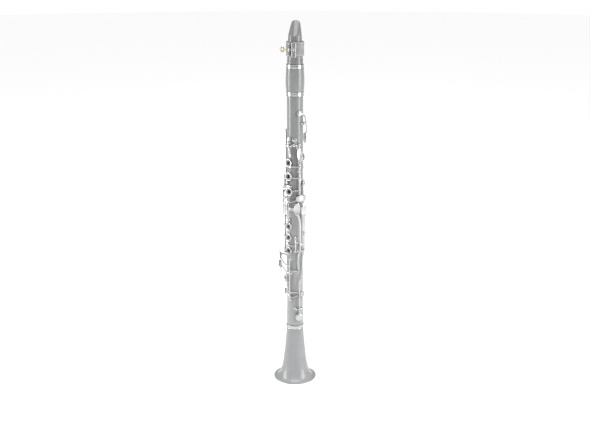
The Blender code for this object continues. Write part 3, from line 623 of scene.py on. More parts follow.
def drilled(name, outline, holes):
    """A turned joint with its (angle, height, radius) holes, which open out a little at the wall."""
    shape = bmesh.new()
    turned(shape, eased(outline, 0.45))
    drills = bmesh.new()
    for angle, height, radius in holes:
        wall = body_radius(height)
        profile = [(radius, DRILL_FROM), (radius, wall - 0.6), (radius + 0.7, wall + 0.1),
                   (radius + 0.7, DRILL_TO)]
        capped(drills, profile, seat(angle, 0.0, height), 32)
    return cut(name, shape, drills)


def chimney(shape, angle, height):
    """A raised sleeve round a finger hole, inside the finger ring."""
    outline = [(HOLE_R + 1.4, CHIMNEY_TOP), (HOLE_R + 1.7, body_radius(height) - 0.8),
               (HOLE_R - 0.05, CHIMNEY_FOOT), (HOLE_R - 0.05, CHIMNEY_TOP)]
    turned(shape, eased(outline, 0.35), seat(angle, 0.0, height), 40)


def make_wood(end, outline, finger_holes, cups, material):
    """A joint's body with its finger holes, the holes under its cups, and its chimneys."""
    joint = end + "_joint"
    holes = [(angle, height, HOLE_R) for angle, height in finger_holes]
    holes += [(angle, height, HOLE_SHARE * radius) for angle, height, radius, _ in cups.values()]
    wood = drilled(joint + "_wood", outline, holes)
    settle(wood, joint, [joint], material)
    true_round(wood)
    shape = bmesh.new()
    for angle, height in finger_holes:
        chimney(shape, angle, height)
    keep(end + "_chimneys", shape, joint, [], material)


def make_lower_joint():
    ring_foot = LOWER_TOP - RING_HEIGHT - GAP
    socket_foot = LOWER_TOP - TENON - 2 * GAP
    outline = [(UNDER_BAND_R, LOWER_TOP), (UNDER_BAND_R, ring_foot), (LOWER_R, ring_foot), (LOWER_R, 150.0),
               (LOWER_FOOT_R, 118.0)]
    outline += tenon_down(LOWER_FOOT_R, BELL_TOP + GAP, BELL_TOP, 9.8)
    outline += [(BORE_R, 190.0), (BORE_R, socket_foot), (SOCKET_R, socket_foot), (SOCKET_R, LOWER_TOP)]
    make_wood("lower", outline, [(0, height) for height in RH_RINGS], LOWER_CUPS, LOWER_GREY_PAINTED_LIGHT)


def make_upper_joint():
    top_groove_foot = UPPER_TOP + CORK_STEP
    top_groove_top = top_groove_foot + CORK_HEIGHT
    tenon_top = UPPER_TOP + TENON
    shoulder = LOWER_TOP + GAP
    outline = [(TOP_TENON_R, tenon_top), (TOP_TENON_R, top_groove_top), (TOP_GROOVE_R, top_groove_top),
               (TOP_GROOVE_R, top_groove_foot), (TOP_TENON_R, top_groove_foot), (TOP_TENON_R, UPPER_TOP),
               (UPPER_R, UPPER_TOP), (UPPER_R, shoulder + 4)]
    outline += tenon_down(UPPER_R + 0.4, shoulder, LOWER_TOP, BORE_R) + [(BORE_R, tenon_top)]
    make_wood("upper", outline, LH_RINGS + [THUMB_HOLE], UPPER_CUPS, BODY_GREY)


def make_barrel():
    foot = UPPER_TOP + GAP
    lower_edge = foot + RING_HEIGHT + GAP
    upper_edge = BARREL_TOP - RING_HEIGHT - GAP
    waist = BAND_R - 0.2
    bulge = []
    steps = 24
    for i in range(steps + 1):
        height = upper_edge + (lower_edge - upper_edge) * i / steps
        reach = BARREL_WIDEST - lower_edge if height < BARREL_WIDEST else upper_edge - BARREL_WIDEST
        share = math.cos((height - BARREL_WIDEST) / reach * math.pi / 2)
        bulge.append((waist + (BARREL_MAX_R - waist) * share, height))
    socket_top = UPPER_TOP + TENON + 3 * GAP
    socket_foot = BARREL_TOP - TENON - GAP
    outline = [(UNDER_BAND_R, BARREL_TOP), (UNDER_BAND_R, upper_edge)] + bulge
    outline += [(UNDER_BAND_R, lower_edge), (UNDER_BAND_R, foot), (TOP_SOCKET_R, foot),
                (TOP_SOCKET_R, socket_top), (BORE_R, socket_top), (BORE_R, socket_foot),
                (TOP_SOCKET_R, socket_foot), (TOP_SOCKET_R, BARREL_TOP)]
    shape = bmesh.new()
    turned(shape, eased(outline, 0.3))
    keep("barrel_wood", shape, "barrel", ["barrel"], BODY_GREY)


# -------- mouthpiece
def mouthpiece_frame():
    """Local X across the beak, local Y towards its front, local Z up."""
    return columns(-around(MOUTHPIECE_FACES), outward(MOUTHPIECE_FACES), UP, Vector())


def mouthpiece_ring(height, half_width, front, flat):
    """An oval that is cut off flat on the reed's side."""
    middle = min(0.0, (front - flat) / 2)
    ring = []
    count = 80
    for i in range(count):
        turn = 2 * math.pi * i / count
        reach = front - middle if math.sin(turn) > 0 else half_width
        depth = middle + reach * math.sin(turn)
        point = Vector((half_width * math.cos(turn), max(depth, -flat), height))
        ring.append(mouthpiece_frame() @ point)
    return ring


def make_mouthpiece():
    """The shell with its beak, tenon, bore and window."""
    beak_front = 11.9
    tip_thick = 1.4
    slope = (beak_front + TABLE - tip_thick) / (TIP - BEAK_FOOT)
    foot = BARREL_TOP + GAP
    sections = [(foot, 13.5, 13.5, 13.5), (foot + 0.5, 14.0, 14.0, 14.0), (597.5, 14.0, 14.0, 14.0),
                (598.2, 13.8, 13.8, 14.0), (603.0, 13.7, 13.7, TABLE), (631.0, 12.3, 12.4, TABLE),
                (BEAK_FOOT - 0.6, 11.75, 11.95, TABLE)]
    steps = 24
    rounding = 4.2
    for i in range(steps + 1):
        share = 1 - (1 - i / steps) ** 1.6
        height = BEAK_FOOT + (TIP - BEAK_FOOT) * share
        front = beak_front - slope * (height - BEAK_FOOT)
        corner = max(0.0, height - TIP + 4.0) / rounding
        half_width = (11.7 - 5.2 * share ** 1.3) * math.sqrt(1 - corner ** 2)
        sections.append((height, half_width, front, TABLE))
    shape = bmesh.new()
    skin(shape, [mouthpiece_ring(*section) for section in sections])
    foot = BARREL_TOP - TENON
    groove_foot = foot + 3
    groove_top = groove_foot + CORK_HEIGHT
    tenon = [(TOP_TENON_R, BARREL_TOP + 2), (TOP_TENON_R, groove_top), (TOP_GROOVE_R, groove_top),
             (TOP_GROOVE_R, groove_foot), (TOP_TENON_R, groove_foot), (TOP_TENON_R, foot + 0.5),
             (TOP_TENON_R - 0.5, foot)]
    capped(shape, tenon)
    hollow = bmesh.new()
    capped(hollow, [(BORE_R, foot - 3), (BORE_R, 628.0), (6.0, 633.0)], steps=48)
    bevel = 0.8
    window = []
    for height, wide in ((620.0, 4.6), (622.0, 5.2), (640.0, 5.2), (656.0, 5.4), (659.0, 5.0)):
        window.append([mouthpiece_frame() @ Vector((x, y, height)) for x, y in
                       ((-wide, -15.0), (wide, -15.0), (wide, -4.3), (wide - bevel, -3.5),
                        (-wide + bevel, -3.5), (-wide, -4.3))])
    skin(hollow, window)
    piece = cut("mouthpiece_shell", shape, hollow)
    settle(piece, "mouthpiece", ["mouthpiece"], EBONITE, 32.0)


def make_reed():
    """The reed: a flat back, a rounded bark and the long scrape to a thin tip."""
    flat = -TABLE - GAP
    shape = bmesh.new()
    rings = []
    for height, half_width, thick, crown in (
            (604.5, 5.5, 2.2, 1.0), (605.0, 5.55, 2.6, 1.0), (627.6, 5.7, 2.6, 1.0), (628.2, 5.7, 2.35, 0.7),
            (634.0, 5.8, 2.0, 0.6), (640.0, 5.95, 1.5, 0.5), (646.0, 6.1, 1.1, 0.4), (652.0, 6.2, 0.75, 0.3),
            (658.0, 6.3, 0.5, 0.2), (661.0, 6.3, 0.4, 0.1), (663.2, 5.0, 0.32, 0.0), (664.0, 3.0, 0.3, 0.0)):
        count = 16
        ring = [Vector((half_width, flat, height)), Vector((-half_width, flat, height))]
        for i in range(count + 1):
            x = -half_width + 2 * half_width * i / count
            arch = 1.0 - crown * 0.6 * (x / half_width) ** 2
            ring.append(Vector((x, flat - thick * arch, height)))
        rings.append([mouthpiece_frame() @ point for point in ring])
    skin(shape, rings)
    keep("reed_cane", shape, "mouthpiece", ["reed"], CANE, 30.0)


# -------- ligature
def strap_ring(turn, inset, sides):
    """The strap's section at an angle round the mouthpiece, in degrees."""
    middle = -outward(MOUTHPIECE_FACES) * LIGATURE_BACK
    outer = STRAP_OUTER_R
    half_way = LIGATURE_FOOT + (LIGATURE_TOP - LIGATURE_FOOT) / 2
    outline = eased([(LIGATURE_R, LIGATURE_FOOT), (outer, LIGATURE_FOOT + 0.2), (outer, half_way),
                     (outer, LIGATURE_TOP - 0.2), (LIGATURE_R, LIGATURE_TOP)], inset, sides)
    return [middle + place(turn, radius, z) for radius, z in outline]


def make_strap():
    """The strap, open between the posts, and a row of stitches along each of its edges."""
    opening = math.degrees(2.6 / LIGATURE_R)
    start = LIGATURE_FACES + opening
    sweep_by = 360.0 - 2 * opening
    count = 96
    shape = bmesh.new()
    skin(shape, [strap_ring(start + sweep_by * i / count, 0.7, 4) for i in range(count + 1)])
    keep("ligature_strap_leather", shape, "ligature", ["ligature_strap"], LEATHER)
    stitches = bmesh.new()
    middle = -outward(MOUTHPIECE_FACES) * LIGATURE_BACK
    total = 54
    half = 2.2
    for height in (LIGATURE_FOOT + 2.0, LIGATURE_TOP - 2.0):
        for i in range(total):
            turn = start + 6 + (sweep_by - 12) * (i + 0.5) / total
            path = []
            for k in range(7):
                radius = STRAP_OUTER_R + 0.12 * math.sin(math.pi * k / 6)
                path.append(middle + place(turn + half * (k / 3 - 1), radius, height))
            sweep(stitches, path, (0.3, 0.3), (0.22, 0.22), 1.0, 6)
    keep("ligature_stitching", stitches, "ligature", [], THREAD)


def make_ligature_posts():
    """Two drilled posts in loops of the strap, and the clamp frame round the player's left one."""
    centre = place(LIGATURE_FACES, SCREW_AT, SCREW_HEIGHT)
    side = around(LIGATURE_FACES)
    loops = bmesh.new()
    for node, where in (("ligature_post_left", 1), ("ligature_post_right", -1)):
        middle = centre + side * where * POST_SPREAD
        below = [(1.6, -10.0), (1.9, -9.7), (1.9, -9.0), (1.5, -8.7), (1.5, -3.3), (2.0, -3.0)]
        above = [(radius, -height) for radius, height in reversed(below)]
        shape = bmesh.new()
        capped(shape, below + above, Matrix.Translation(middle), 40)
        drill = bmesh.new()
        capped(drill, [(1.4, -5.0), (1.4, 5.0)], along(middle, middle + side), 32)
        piece = cut(node + "_turned", shape, drill)
        settle(piece, "ligature", [node], SILVER)
        for low, high in ((-8.5, -3.5), (3.5, 8.5)):
            outline = [(2.15, high), (2.15, low), (1.55, low), (1.55, high)]
            turned(loops, eased(outline, 0.25), Matrix.Translation(middle), 32)
    keep("ligature_strap_loops", loops, "ligature", [], LEATHER)
    clamp = bmesh.new()
    matrix = seat(LIGATURE_FACES + 13.0, SCREW_AT + 2.2, SCREW_HEIGHT)
    half_width = 3.1
    half_height = 12.0
    corners = [(0.0, -half_height), (half_width, -half_height), (half_width, half_height),
               (-half_width, half_height), (-half_width, -half_height)]
    path = [matrix @ Vector((x, y, 0.0)) for x, y in eased(corners, 1.0, 5)]
    sweep(clamp, path + path[:2], (0.8, 0.8), (0.8, 0.8), 0.7, 12)
    keep("ligature_clamp_frame", clamp, "ligature", [], SILVER)


def make_thumbscrew():
    """Knurled head, collar and threaded shank, along the line through both posts."""
    centre = place(LIGATURE_FACES, SCREW_AT, SCREW_HEIGHT)
    side = around(LIGATURE_FACES)
    matrix = along(centre, centre - side)
    shape = bmesh.new()
    thread_foot = -7.4
    thread_r = 1.1
    pitch = 0.5
    thread = [(CORE, thread_foot - 0.1)]
    for i in range(90):
        thread.append((thread_r + 0.1 * math.cos(2 * math.pi * i / 4), thread_foot + pitch / 4 * i))
    thread.append((CORE, thread[-1][1]))
    turned(shape, thread, matrix, 20, loop=False)
    collar = [(1.05, 3.4), (1.05, 8.6), (2.0, 8.6), (2.2, 9.0), (2.2, 10.4), (1.6, 11.0), (1.5, 14.0),
              (2.0, 14.8)]
    capped(shape, collar, matrix, 32)
    teeth = 22
    tooth_depth = 0.35
    steps = teeth * 4
    head = [(CORE, 14.5), (3.6, 14.5), (4.7, 15.2), (5.0, 16.0), (5.0, 18.6), (4.6, 19.4), (3.6, 20.0),
            (2.6, 19.6), (CORE, 19.5)]
    rings = []
    for radius, height in head:
        depth = tooth_depth if radius > 4.5 else 0.0
        ring = []
        for i in range(steps):
            turn = 2 * math.pi * i / steps
            reach = radius - depth * (0.5 + 0.5 * math.cos(teeth * turn))
            ring.append(matrix @ Vector((reach * math.cos(turn), reach * math.sin(turn), height)))
        rings.append(ring)
    skin(shape, rings)
    keep("ligature_thumbscrew", shape, "ligature_screw", ["ligature_screw"], BRASS)


# -------- where the keywork is
LH_RINGS = [(0, 417.5), (0, 392.7), (5, 365.0)]
RH_RINGS = [300.0, 279.0, 254.0]
THUMB_HOLE = (-180, 424.0)

# Cups: angle, height, radius, and how far the pad stands open
UPPER_CUPS = {
    "register_pad": (74, 506.0, 4.6, 0.0),
    "a_pad": (0, 460.0, 4.4, 0.0),
    "gsharp_pad": (40, 460.0, 4.2, 0.0),
    "lh_ring_pad": (-15, 380.8, 3.2, 1.0),
    "thumb_ring_pad": (-180, 405.0, 4.2, 1.0),
    "csharp_gsharp_pad": (122, 378.0, 4.4, 0.0),
    "eb_bb_pad": (-63, 384.0, 3.3, 0.0),
    "trill_pad_1": (-146, 392.0, 4.0, 0.0),
    "trill_pad_2": (-132, 414.0, 4.0, 0.0),
    "trill_pad_3": (-118, 440.0, 4.0, 0.0),
    "trill_pad_4": (-104, 468.0, 4.0, 0.0),
}
LOWER_CUPS = {
    "rh_ring_pad": (2, 313.0, 3.4, 1.0),
    "b_fsharp_pad": (83, 266.0, 3.2, 0.0),
    "fsharp_csharp_pad": (-50, 195.0, 5.4, 1.0),
    "f_c_pad": (-50, 171.0, 6.0, 1.0),
    "ab_eb_pad": (100, 168.0, 5.6, 0.0),
    "e_b_pad": (69, 125.5, 7.4, 1.4),
}
CUPS = UPPER_CUPS | LOWER_CUPS

# Hinges across the body: angle, height and half the distance between their posts
REGISTER_HINGE = (115, 488.0, 5.5)
A_HINGE = (8, 449.0, 6.0)
GSHARP_HINGE = (52, 450.0, 5.2)
E_B_HINGE = (70, 142.0, 7.0)
F_LEVER_HINGE = (70, 255.0, 3.9)
E_LEVER_HINGE = (97, 255.0, 3.9)

# Hinges along the body: angle and the heights of their posts
LH1_HINGE = (71, 402.0, 418.5)
LH_HINGE = (71, 362.0, 402.0)
THUMB_HINGE = (-152, 401.5, 431.0)
CSHARP_HINGE = (97, 346.0, 386.0)
EB_BB_HINGE = (-44, 371.5, 392.0)
TRILL_HINGES = [(-120, 340.0, 397.0), (-106, 348.0, 419.0), (-92, 359.0, 445.0), (-78, 371.0, 473.0)]
RH_HINGE = (-62, 247.0, 315.5)
B_FSHARP_HINGE = (47, 254.0, 280.5)
FSHARP_HINGE = (12, 210.0, 237.0)
E_TOUCH_HINGE = (12, 171.5, 210.0)
AB_HINGE = (12, 159.0, 171.5)
F_C_HINGE = (-88, 165.0, 246.0)

UPPER_CROSS = [REGISTER_HINGE, A_HINGE, GSHARP_HINGE]
UPPER_ALONG = [LH1_HINGE, LH_HINGE, THUMB_HINGE, CSHARP_HINGE, EB_BB_HINGE] + TRILL_HINGES
LOWER_CROSS = [E_B_HINGE, F_LEVER_HINGE, E_LEVER_HINGE]
LOWER_ALONG = [RH_HINGE, B_FSHARP_HINGE, FSHARP_HINGE, E_TOUCH_HINGE, AB_HINGE, F_C_HINGE]


# -------- posts, pivots and springs
def post(shape, head, direction, axis):
    """A turned post with a foot flange, a waist and a ball that holds the pivot."""
    wall = body_radius(head.z) - AXIS_R
    foot = wall - 0.35
    peg = -8.0
    profile = [(CORE, peg), (1.5, peg), (1.5, foot), (2.6, foot), (2.75, foot + 0.25), (2.6, foot + 0.75),
               (1.9, foot + 1.0), (1.45, foot + 1.5), (1.3, -2.1), (1.55, -1.4), (CORE, -0.6)]
    turned(shape, profile, along(head, head + direction), SMALL, loop=False)
    ball(shape, head, axis, BALL_R, POST_R)


def slotted_head(shape, matrix, levels):
    """Two half discs either side of a screw's slot, from (radius, height, half the slot) levels."""
    count = 12
    for turn in (0.0, math.pi):
        rings = []
        for radius, height, slot in levels:
            limit = math.asin(slot / radius)
            turns = [limit + (math.pi - 2 * limit) * i / count + turn for i in range(count + 1)]
            rings.append(arc(matrix, radius, height, turns))
        skin(shape, rings)


def screw_end(shape, head, axis):
    """The slotted end of a pivot screw on the free face of a post's ball."""
    matrix = along(head, head + axis)
    radius = 1.15
    slot = 0.25
    ease = 0.12
    slotted_head(shape, matrix, [(radius, POST_R - 0.3, slot), (radius, POST_R + 0.28, slot),
                                 (radius - ease, POST_R + 0.4, slot + ease)])
    disc(shape, matrix, 1.1, POST_R - 0.4, POST_R + 0.05, 0.05)


def ends_of(hinge, cross):
    """Both post heads of a hinge, the direction of the posts, and the direction of the axis."""
    angle, low, high = hinge
    if cross:
        middle = place(angle, AXIS_R, low)
        reach = around(angle) * high
        return middle - reach, middle + reach, outward(angle), around(angle)
    return place(angle, AXIS_R, low), place(angle, AXIS_R, high), outward(angle), UP


def make_hinge_hardware(joint, cross_hinges, along_hinges):
    """Posts, steel pivots and their slotted ends on one joint."""
    posts = bmesh.new()
    pivots = bmesh.new()
    heads = []
    for hinge in cross_hinges + along_hinges:
        start, end, direction, axis = ends_of(hinge, hinge in cross_hinges)
        capped(pivots, [(ROD_R, 0.0), (ROD_R, (end - start).length)], along(start, end), 12)
        for head, free in ((start, -axis), (end, axis)):
            if any((head - other).length < 2.5 for other in heads):
                continue
            heads.append(head)
            post(posts, head, direction, axis)
            screw_end(pivots, head, free)
    keep(joint + "_posts", posts, joint, [], SILVER)
    keep(joint + "_pivots", pivots, joint, [], STEEL)


def needle_springs(joint, hinges):
    """A blued needle from one post of each long hinge to the hook on its tube."""
    shape = bmesh.new()
    for angle, low, high in hinges:
        reach = low + 0.62 * (high - low)
        path = route([(angle - 5.0, AXIS_R - 1.3, low), (angle - 5.5, AXIS_R - 1.4, (low + reach) / 2),
                      (angle - 5.2, AXIS_R - 1.2, reach)], 4)
        sweep(shape, path, (0.28, 0.16), (0.28, 0.16), 1.0, 8)
    keep(joint + "_needle_springs", shape, joint, [], SPRING_BLUE)


# -------- parts of a key
def cup_foot(height, rise):
    return body_radius(height) + 2 * GAP + PAD_THICK + rise


def cup(shape, name):
    """A pad cup: a straight skirt, a domed back and a small button in its middle."""
    angle, height, radius, rise = CUPS[name]
    skirt = 0.7
    dome = [(CORE + (radius - 0.25) * math.cos(math.radians(9 * i)),
             skirt + (CUP_HEIGHT - skirt) * math.sin(math.radians(9 * i))) for i in range(11)]
    profile = [(CORE, 0.35), (radius * 0.9 - 0.1, 0.35), (radius * 0.9, 0.0), (radius - 0.12, 0.0),
               (radius, 0.12), (radius, skirt - 0.15), (radius - 0.12, skirt)] + dome
    frame_here = seat(angle, cup_foot(height, rise), height)
    turned(shape, profile, frame_here, 40, loop=False)
    disc(shape, frame_here, 1.55, CUP_HEIGHT - 0.25, CUP_HEIGHT + 0.35, 0.25)


def cup_top(name):
    """Distance from the bore's axis at which an arm meets the back of a cup."""
    _, height, _, rise = CUPS[name]
    return cup_foot(height, rise) + CUP_HEIGHT - 0.3


def make_pads(bodies):
    """The felt and skin disc in each cup, with its soft rim and the seat pressed into it."""
    for name, body in bodies.items():
        angle, height, radius, rise = CUPS[name]
        edge = radius * 0.9
        hole = HOLE_SHARE * radius
        turns = [math.radians(-90 + 180 * i / 8) for i in range(9)]
        soft = [(edge - PAD_THICK / 2 + PAD_THICK / 2 * math.cos(t),
                 PAD_THICK / 2 + PAD_THICK / 2 * math.sin(t)) for t in turns]
        dent = [(hole, 0.0), (hole + 0.25, 0.18), (hole + 0.5, 0.0)]
        shape = bmesh.new()
        capped(shape, dent + soft, seat(angle, body_radius(height) + GAP + rise, height), 40)
        keep(name + "_skin", shape, body, [name], PAD_SKIN)


def tube(start, end, collars):
    """A hinge tube between two posts, with a collar where each arm is soldered to it."""
    shape = bmesh.new()
    length = (end - start).length
    clear = POST_R + GAP
    matrix = along(start, end)
    bore = ROD_R + 0.06
    outline = [(TUBE_R, length - clear), (TUBE_R, clear), (bore, clear), (bore, length - clear)]
    turned(shape, eased(outline, 0.2), matrix, SMALL)
    for place_on in collars:
        half = 1.5
        outline = [(TUBE_R + 0.35, place_on + half), (TUBE_R + 0.35, place_on - half),
                   (bore, place_on - half), (bore, place_on + half)]
        turned(shape, eased(outline, 0.35), matrix, SMALL)
    return shape


def hinge_tube(hinge, *collar_heights):
    """The start of a key on a hinge along the body: its tube, with collars at these heights."""
    start, end, _, _ = ends_of(hinge, False)
    return tube(start, end, [height - hinge[1] for height in collar_heights])


def cross_tube(hinge):
    """The start of a key on a hinge across the body: its tube, with a collar in the middle."""
    start, end, _, _ = ends_of(hinge, True)
    return tube(start, end, [hinge[2]])


def arm(shape, points, widths=(1.0, 1.0), thicks=(1.0, 1.0), steps=6):
    """A flattened bar along a route; widths and thicks multiply the usual ones at its ends."""
    sweep(shape, route(points, steps), [ARM_HALF_WIDTH * w for w in widths],
          [ARM_HALF_THICK * t for t in thicks])


def cup_arm(shape, name, start, *between):
    """An arm from a start point to the back of a cup, tapering as it goes."""
    angle, height, _, _ = CUPS[name]
    arm(shape, [start, *between, (angle, cup_top(name), height)], (1.15, 0.85), (1.1, 0.8))


def finger_ring(shape, angle, height):
    """A ring round a finger hole, flat on top with soft edges."""
    matrix = seat(angle, RING_AT, height)
    rings = []
    for i in range(56):
        turn = 2 * math.pi * i / 56
        ring = []
        for k in range(14):
            bend = 2 * math.pi * k / 14
            radius = RING_R + RIM_R * bowed(math.cos(bend), 0.7)
            lift = 0.85 * RIM_R * bowed(math.sin(bend), 0.7)
            ring.append(matrix @ Vector((radius * math.cos(turn), radius * math.sin(turn), lift)))
        rings.append(ring)
    skin(shape, rings, loop=True)


def rim(angle, height, clock):
    """A point on a finger ring's rim as (angle, radius, height); clock is 0 at the player's left, 90 up."""
    turn = math.radians(clock)
    point = seat(angle, RING_AT, height) @ Vector((math.cos(turn) * RING_R, math.sin(turn) * RING_R, 0.0))
    return (math.degrees(math.atan2(point.x, -point.y)), math.hypot(point.x, point.y), point.z)


def touch(shape, angle, radius, height, wide, tall, thick=1.3, tilt=0.0, lean=0.0, taper=0.0, dish=0.35,
          square=1.0, bend=30.0):
    """A dished touchpiece, wide round the body and tall along it, with a rolled rim."""
    turn = Matrix.Rotation(math.radians(tilt), 4, 'Z') @ Matrix.Rotation(math.radians(lean), 4, 'Y')
    matrix = seat(angle, radius, height) @ turn
    levels = [(0.06, -0.5), (0.35, -0.5), (0.7, -0.42), (0.9, -0.25), (1.0, 0.05), (1.0, 0.3), (0.94, 0.5),
              (0.86, 0.46), (0.72, 0.3), (0.5, 0.15), (0.25, 0.06), (0.06, 0.04)]
    rings = []
    for share, level in levels:
        ring = []
        for k in range(40):
            spot = 2 * math.pi * k / 40
            along_y = bowed(math.sin(spot), square)
            x = wide / 2 * share * bowed(math.cos(spot), square) * (1 + taper * along_y)
            y = tall / 2 * share * along_y
            lift = level * thick
            if level > 0 and share < 0.94:
                lift = thick * 0.5 - dish * (1 - (share / 0.94) ** 2) * 1.6
            ring.append(matrix @ Vector((x, y, lift - x * x / (2 * bend))))
        rings.append(ring)
    skin(shape, rings)


def plate(shape, start, end, radius, foot, top, thick=1.2):
    """A touchpiece bent round the body between two angles, rounded at its corners."""
    count = 24
    rings = []
    for i in range(count + 1):
        share = i / count
        angle = start + (end - start) * share
        edge = min(share, 1 - share) * 4
        pinch = 1.0 if edge >= 1 else math.sqrt(max(0.02, 1 - (1 - edge) ** 2))
        middle = (foot + top) / 2
        half = (top - foot) / 2 * (0.45 + 0.55 * pinch)
        outline = eased([(radius, middle - half), (radius + thick, middle - half),
                         (radius + thick - 0.25, middle), (radius + thick, middle + half),
                         (radius, middle + half)], 0.45)
        rings.append([place(angle, r, h) for r, h in outline])
    skin(shape, rings)


def key(name, shape, pads=()):
    keep(name + "_plated", shape, name, [name], SILVER, 50.0)
    return {pad: name for pad in pads}


# -------- keys of the upper joint
def make_register_key():
    shape = cross_tube(REGISTER_HINGE)
    cup_arm(shape, "register_pad", (115, 20.2, 488), (108, 19.6, 499), (90, 18.6, 505.5))
    cup(shape, "register_pad")
    arm(shape, [(115, 20.0, 488), (126, 20.6, 480), (150, 20.6, 470), (165, 20.4, 463)], (1.1, 1.3))
    touch(shape, 168, 20.6, 458, 9, 19, 1.6, taper=0.12)
    return key("register_key", shape, ["register_pad"])


def make_throat_keys():
    shape = cross_tube(A_HINGE)
    cup_arm(shape, "a_pad", (8, 20.0, 448), (4, 19.2, 454))
    cup(shape, "a_pad")
    arm(shape, [(8, 19.8, 449), (13, 20.6, 443), (14, 20.4, 436), (13, 20.0, 431)], (1.3, 1.3), (1.3, 1.2))
    touch(shape, 14, 20.3, 434, 5.0, 13, 1.8, dish=0.2)
    pads = key("a_key", shape, ["a_pad"])
    shape = cross_tube(GSHARP_HINGE)
    cup_arm(shape, "gsharp_pad", (52, 20.0, 450), (47, 19.4, 455))
    cup(shape, "gsharp_pad")
    arm(shape, [(52, 19.8, 449), (54, 20.2, 446), (60, 20.5, 443), (66, 20.7, 438)])
    touch(shape, 68, 20.8, 434, 9.5, 26, 1.6, 8, taper=-0.15)
    pads |= key("gsharp_key", shape, ["gsharp_pad"])
    return pads


def make_left_rings():
    shape = hinge_tube(LH1_HINGE, 411.5)
    finger_ring(shape, *LH_RINGS[0])
    arm(shape, [rim(*LH_RINGS[0], -50), (40, 18.4, 411.7), (71, 19.2, 411.5)])
    arm(shape, [rim(*LH_RINGS[0], 226), (1, 16.7, 410.4), (22, 17.9, 411.0)], (0.8, 0.8))
    key("lh1_ring_key", shape)
    shape = hinge_tube(LH_HINGE, 391, 368)
    finger_ring(shape, *LH_RINGS[1])
    finger_ring(shape, *LH_RINGS[2])
    arm(shape, [rim(*LH_RINGS[1], -10), (40, 18.4, 391.2), (71, 19.2, 391)])
    arm(shape, [rim(*LH_RINGS[2], 20), (44, 18.6, 368), (71, 19.2, 368)])
    cup(shape, "lh_ring_pad")
    cup_arm(shape, "lh_ring_pad", rim(*LH_RINGS[1], 250), (-12, 18.7, 384.6))
    arm(shape, [rim(*LH_RINGS[2], 270), (6, 17.0, 350), (6, 16.7, 341.5)], (0.8, 0.8), (0.8, 0.8))
    return key("lh_ring_key", shape, ["lh_ring_pad"])


def make_thumb_ring():
    shape = hinge_tube(THUMB_HINGE, 424.6, 407)
    finger_ring(shape, *THUMB_HOLE)
    arm(shape, [rim(*THUMB_HOLE, 8), (-152, 19.3, 424.6)])
    cup(shape, "thumb_ring_pad")
    cup_arm(shape, "thumb_ring_pad", (-152, 19.4, 407), (-165, 19.3, 406))
    return key("thumb_ring_key", shape, ["thumb_ring_pad"])


def make_left_pinky_key():
    shape = hinge_tube(CSHARP_HINGE, 353.5, 378)
    plate(shape, 49, 112, 19.7, 348.4, 359.0)
    arm(shape, [(54, 20.4, 352.5), (38, 20.6, 349.5), (18, 20.8, 347.6), (0, 20.8, 348), (-14, 20.4, 352),
                (-22, 20.2, 357)], (1.2, 0.9))
    cup_arm(shape, "csharp_gsharp_pad", (97, 19.6, 378), (108, 19.0, 378))
    cup(shape, "csharp_gsharp_pad")
    return key("csharp_gsharp_key", shape, ["csharp_gsharp_pad"])


def make_fork_key():
    shape = hinge_tube(EB_BB_HINGE, 375.2, 384)
    arm(shape, [(-44, 19.3, 375.2), (-28, 18.7, 375.0), (-8, 17.8, 375.0), (12, 17.6, 375.0),
                (22, 17.6, 375.2)], (1.0, 1.7), (1.0, 0.9))
    cup_arm(shape, "eb_bb_pad", (-44, 19.4, 384), (-54, 19.0, 384))
    cup(shape, "eb_bb_pad")
    return key("eb_bb_key", shape, ["eb_bb_pad"])


def make_trill_keys():
    touches = [(-46, 20.8, 329.0, 7.0, 21.0), (-16, 20.6, 333.5, 6.0, 23.0),
               (-63, 21.4, 357.0, 6.5, 14.0), (-40, 21.4, 357.5, 6.0, 19.0)]
    arms = [
        [(-120, 19.6, 344.0), (-104, 21.4, 340.5), (-72, 21.2, 337.0), (-50, 20.9, 333)],
        [(-106, 19.6, 352.0), (-84, 21.4, 347.2), (-50, 21.2, 345.4), (-28, 21.0, 344), (-18, 20.7, 340)],
        [(-92, 19.6, 363), (-78, 21.0, 362.4), (-65, 21.2, 360)],
        [(-78, 19.6, 376), (-66, 21.4, 371.5), (-52, 21.8, 365.5), (-42, 21.5, 361)]]
    pads = {}
    for i, hinge in enumerate(TRILL_HINGES):
        angle = hinge[0]
        pad = "trill_pad_%d" % (i + 1)
        _, cup_height, _, _ = CUPS[pad]
        shape = hinge_tube(hinge, arms[i][0][2], cup_height)
        arm(shape, arms[i])
        touch(shape, *touches[i], taper=0.1)
        cup_arm(shape, pad, (angle, 19.4, cup_height), (angle - 12, 19.2, cup_height))
        cup(shape, pad)
        pads |= key("trill_key_%d" % (i + 1), shape, [pad])
    return pads


# -------- keys of the lower joint
def make_right_rings():
    shape = hinge_tube(RH_HINGE, *RH_RINGS)
    for height in RH_RINGS:
        finger_ring(shape, 0, height)
        arm(shape, [rim(0, height, 180), (-42, 18.6, height), (-62, 19.2, height)])
    cup(shape, "rh_ring_pad")
    cup_arm(shape, "rh_ring_pad", rim(0, RH_RINGS[0], 90), (1, 19.3, 308.4))
    arm(shape, [(3, 19.4, 313), (6, 19.3, 324), (6, 19.0, 334), (6, 19.0, 344)], (0.8, 0.9), (0.9, 0.8))
    return key("rh_ring_key", shape, ["rh_ring_pad"])


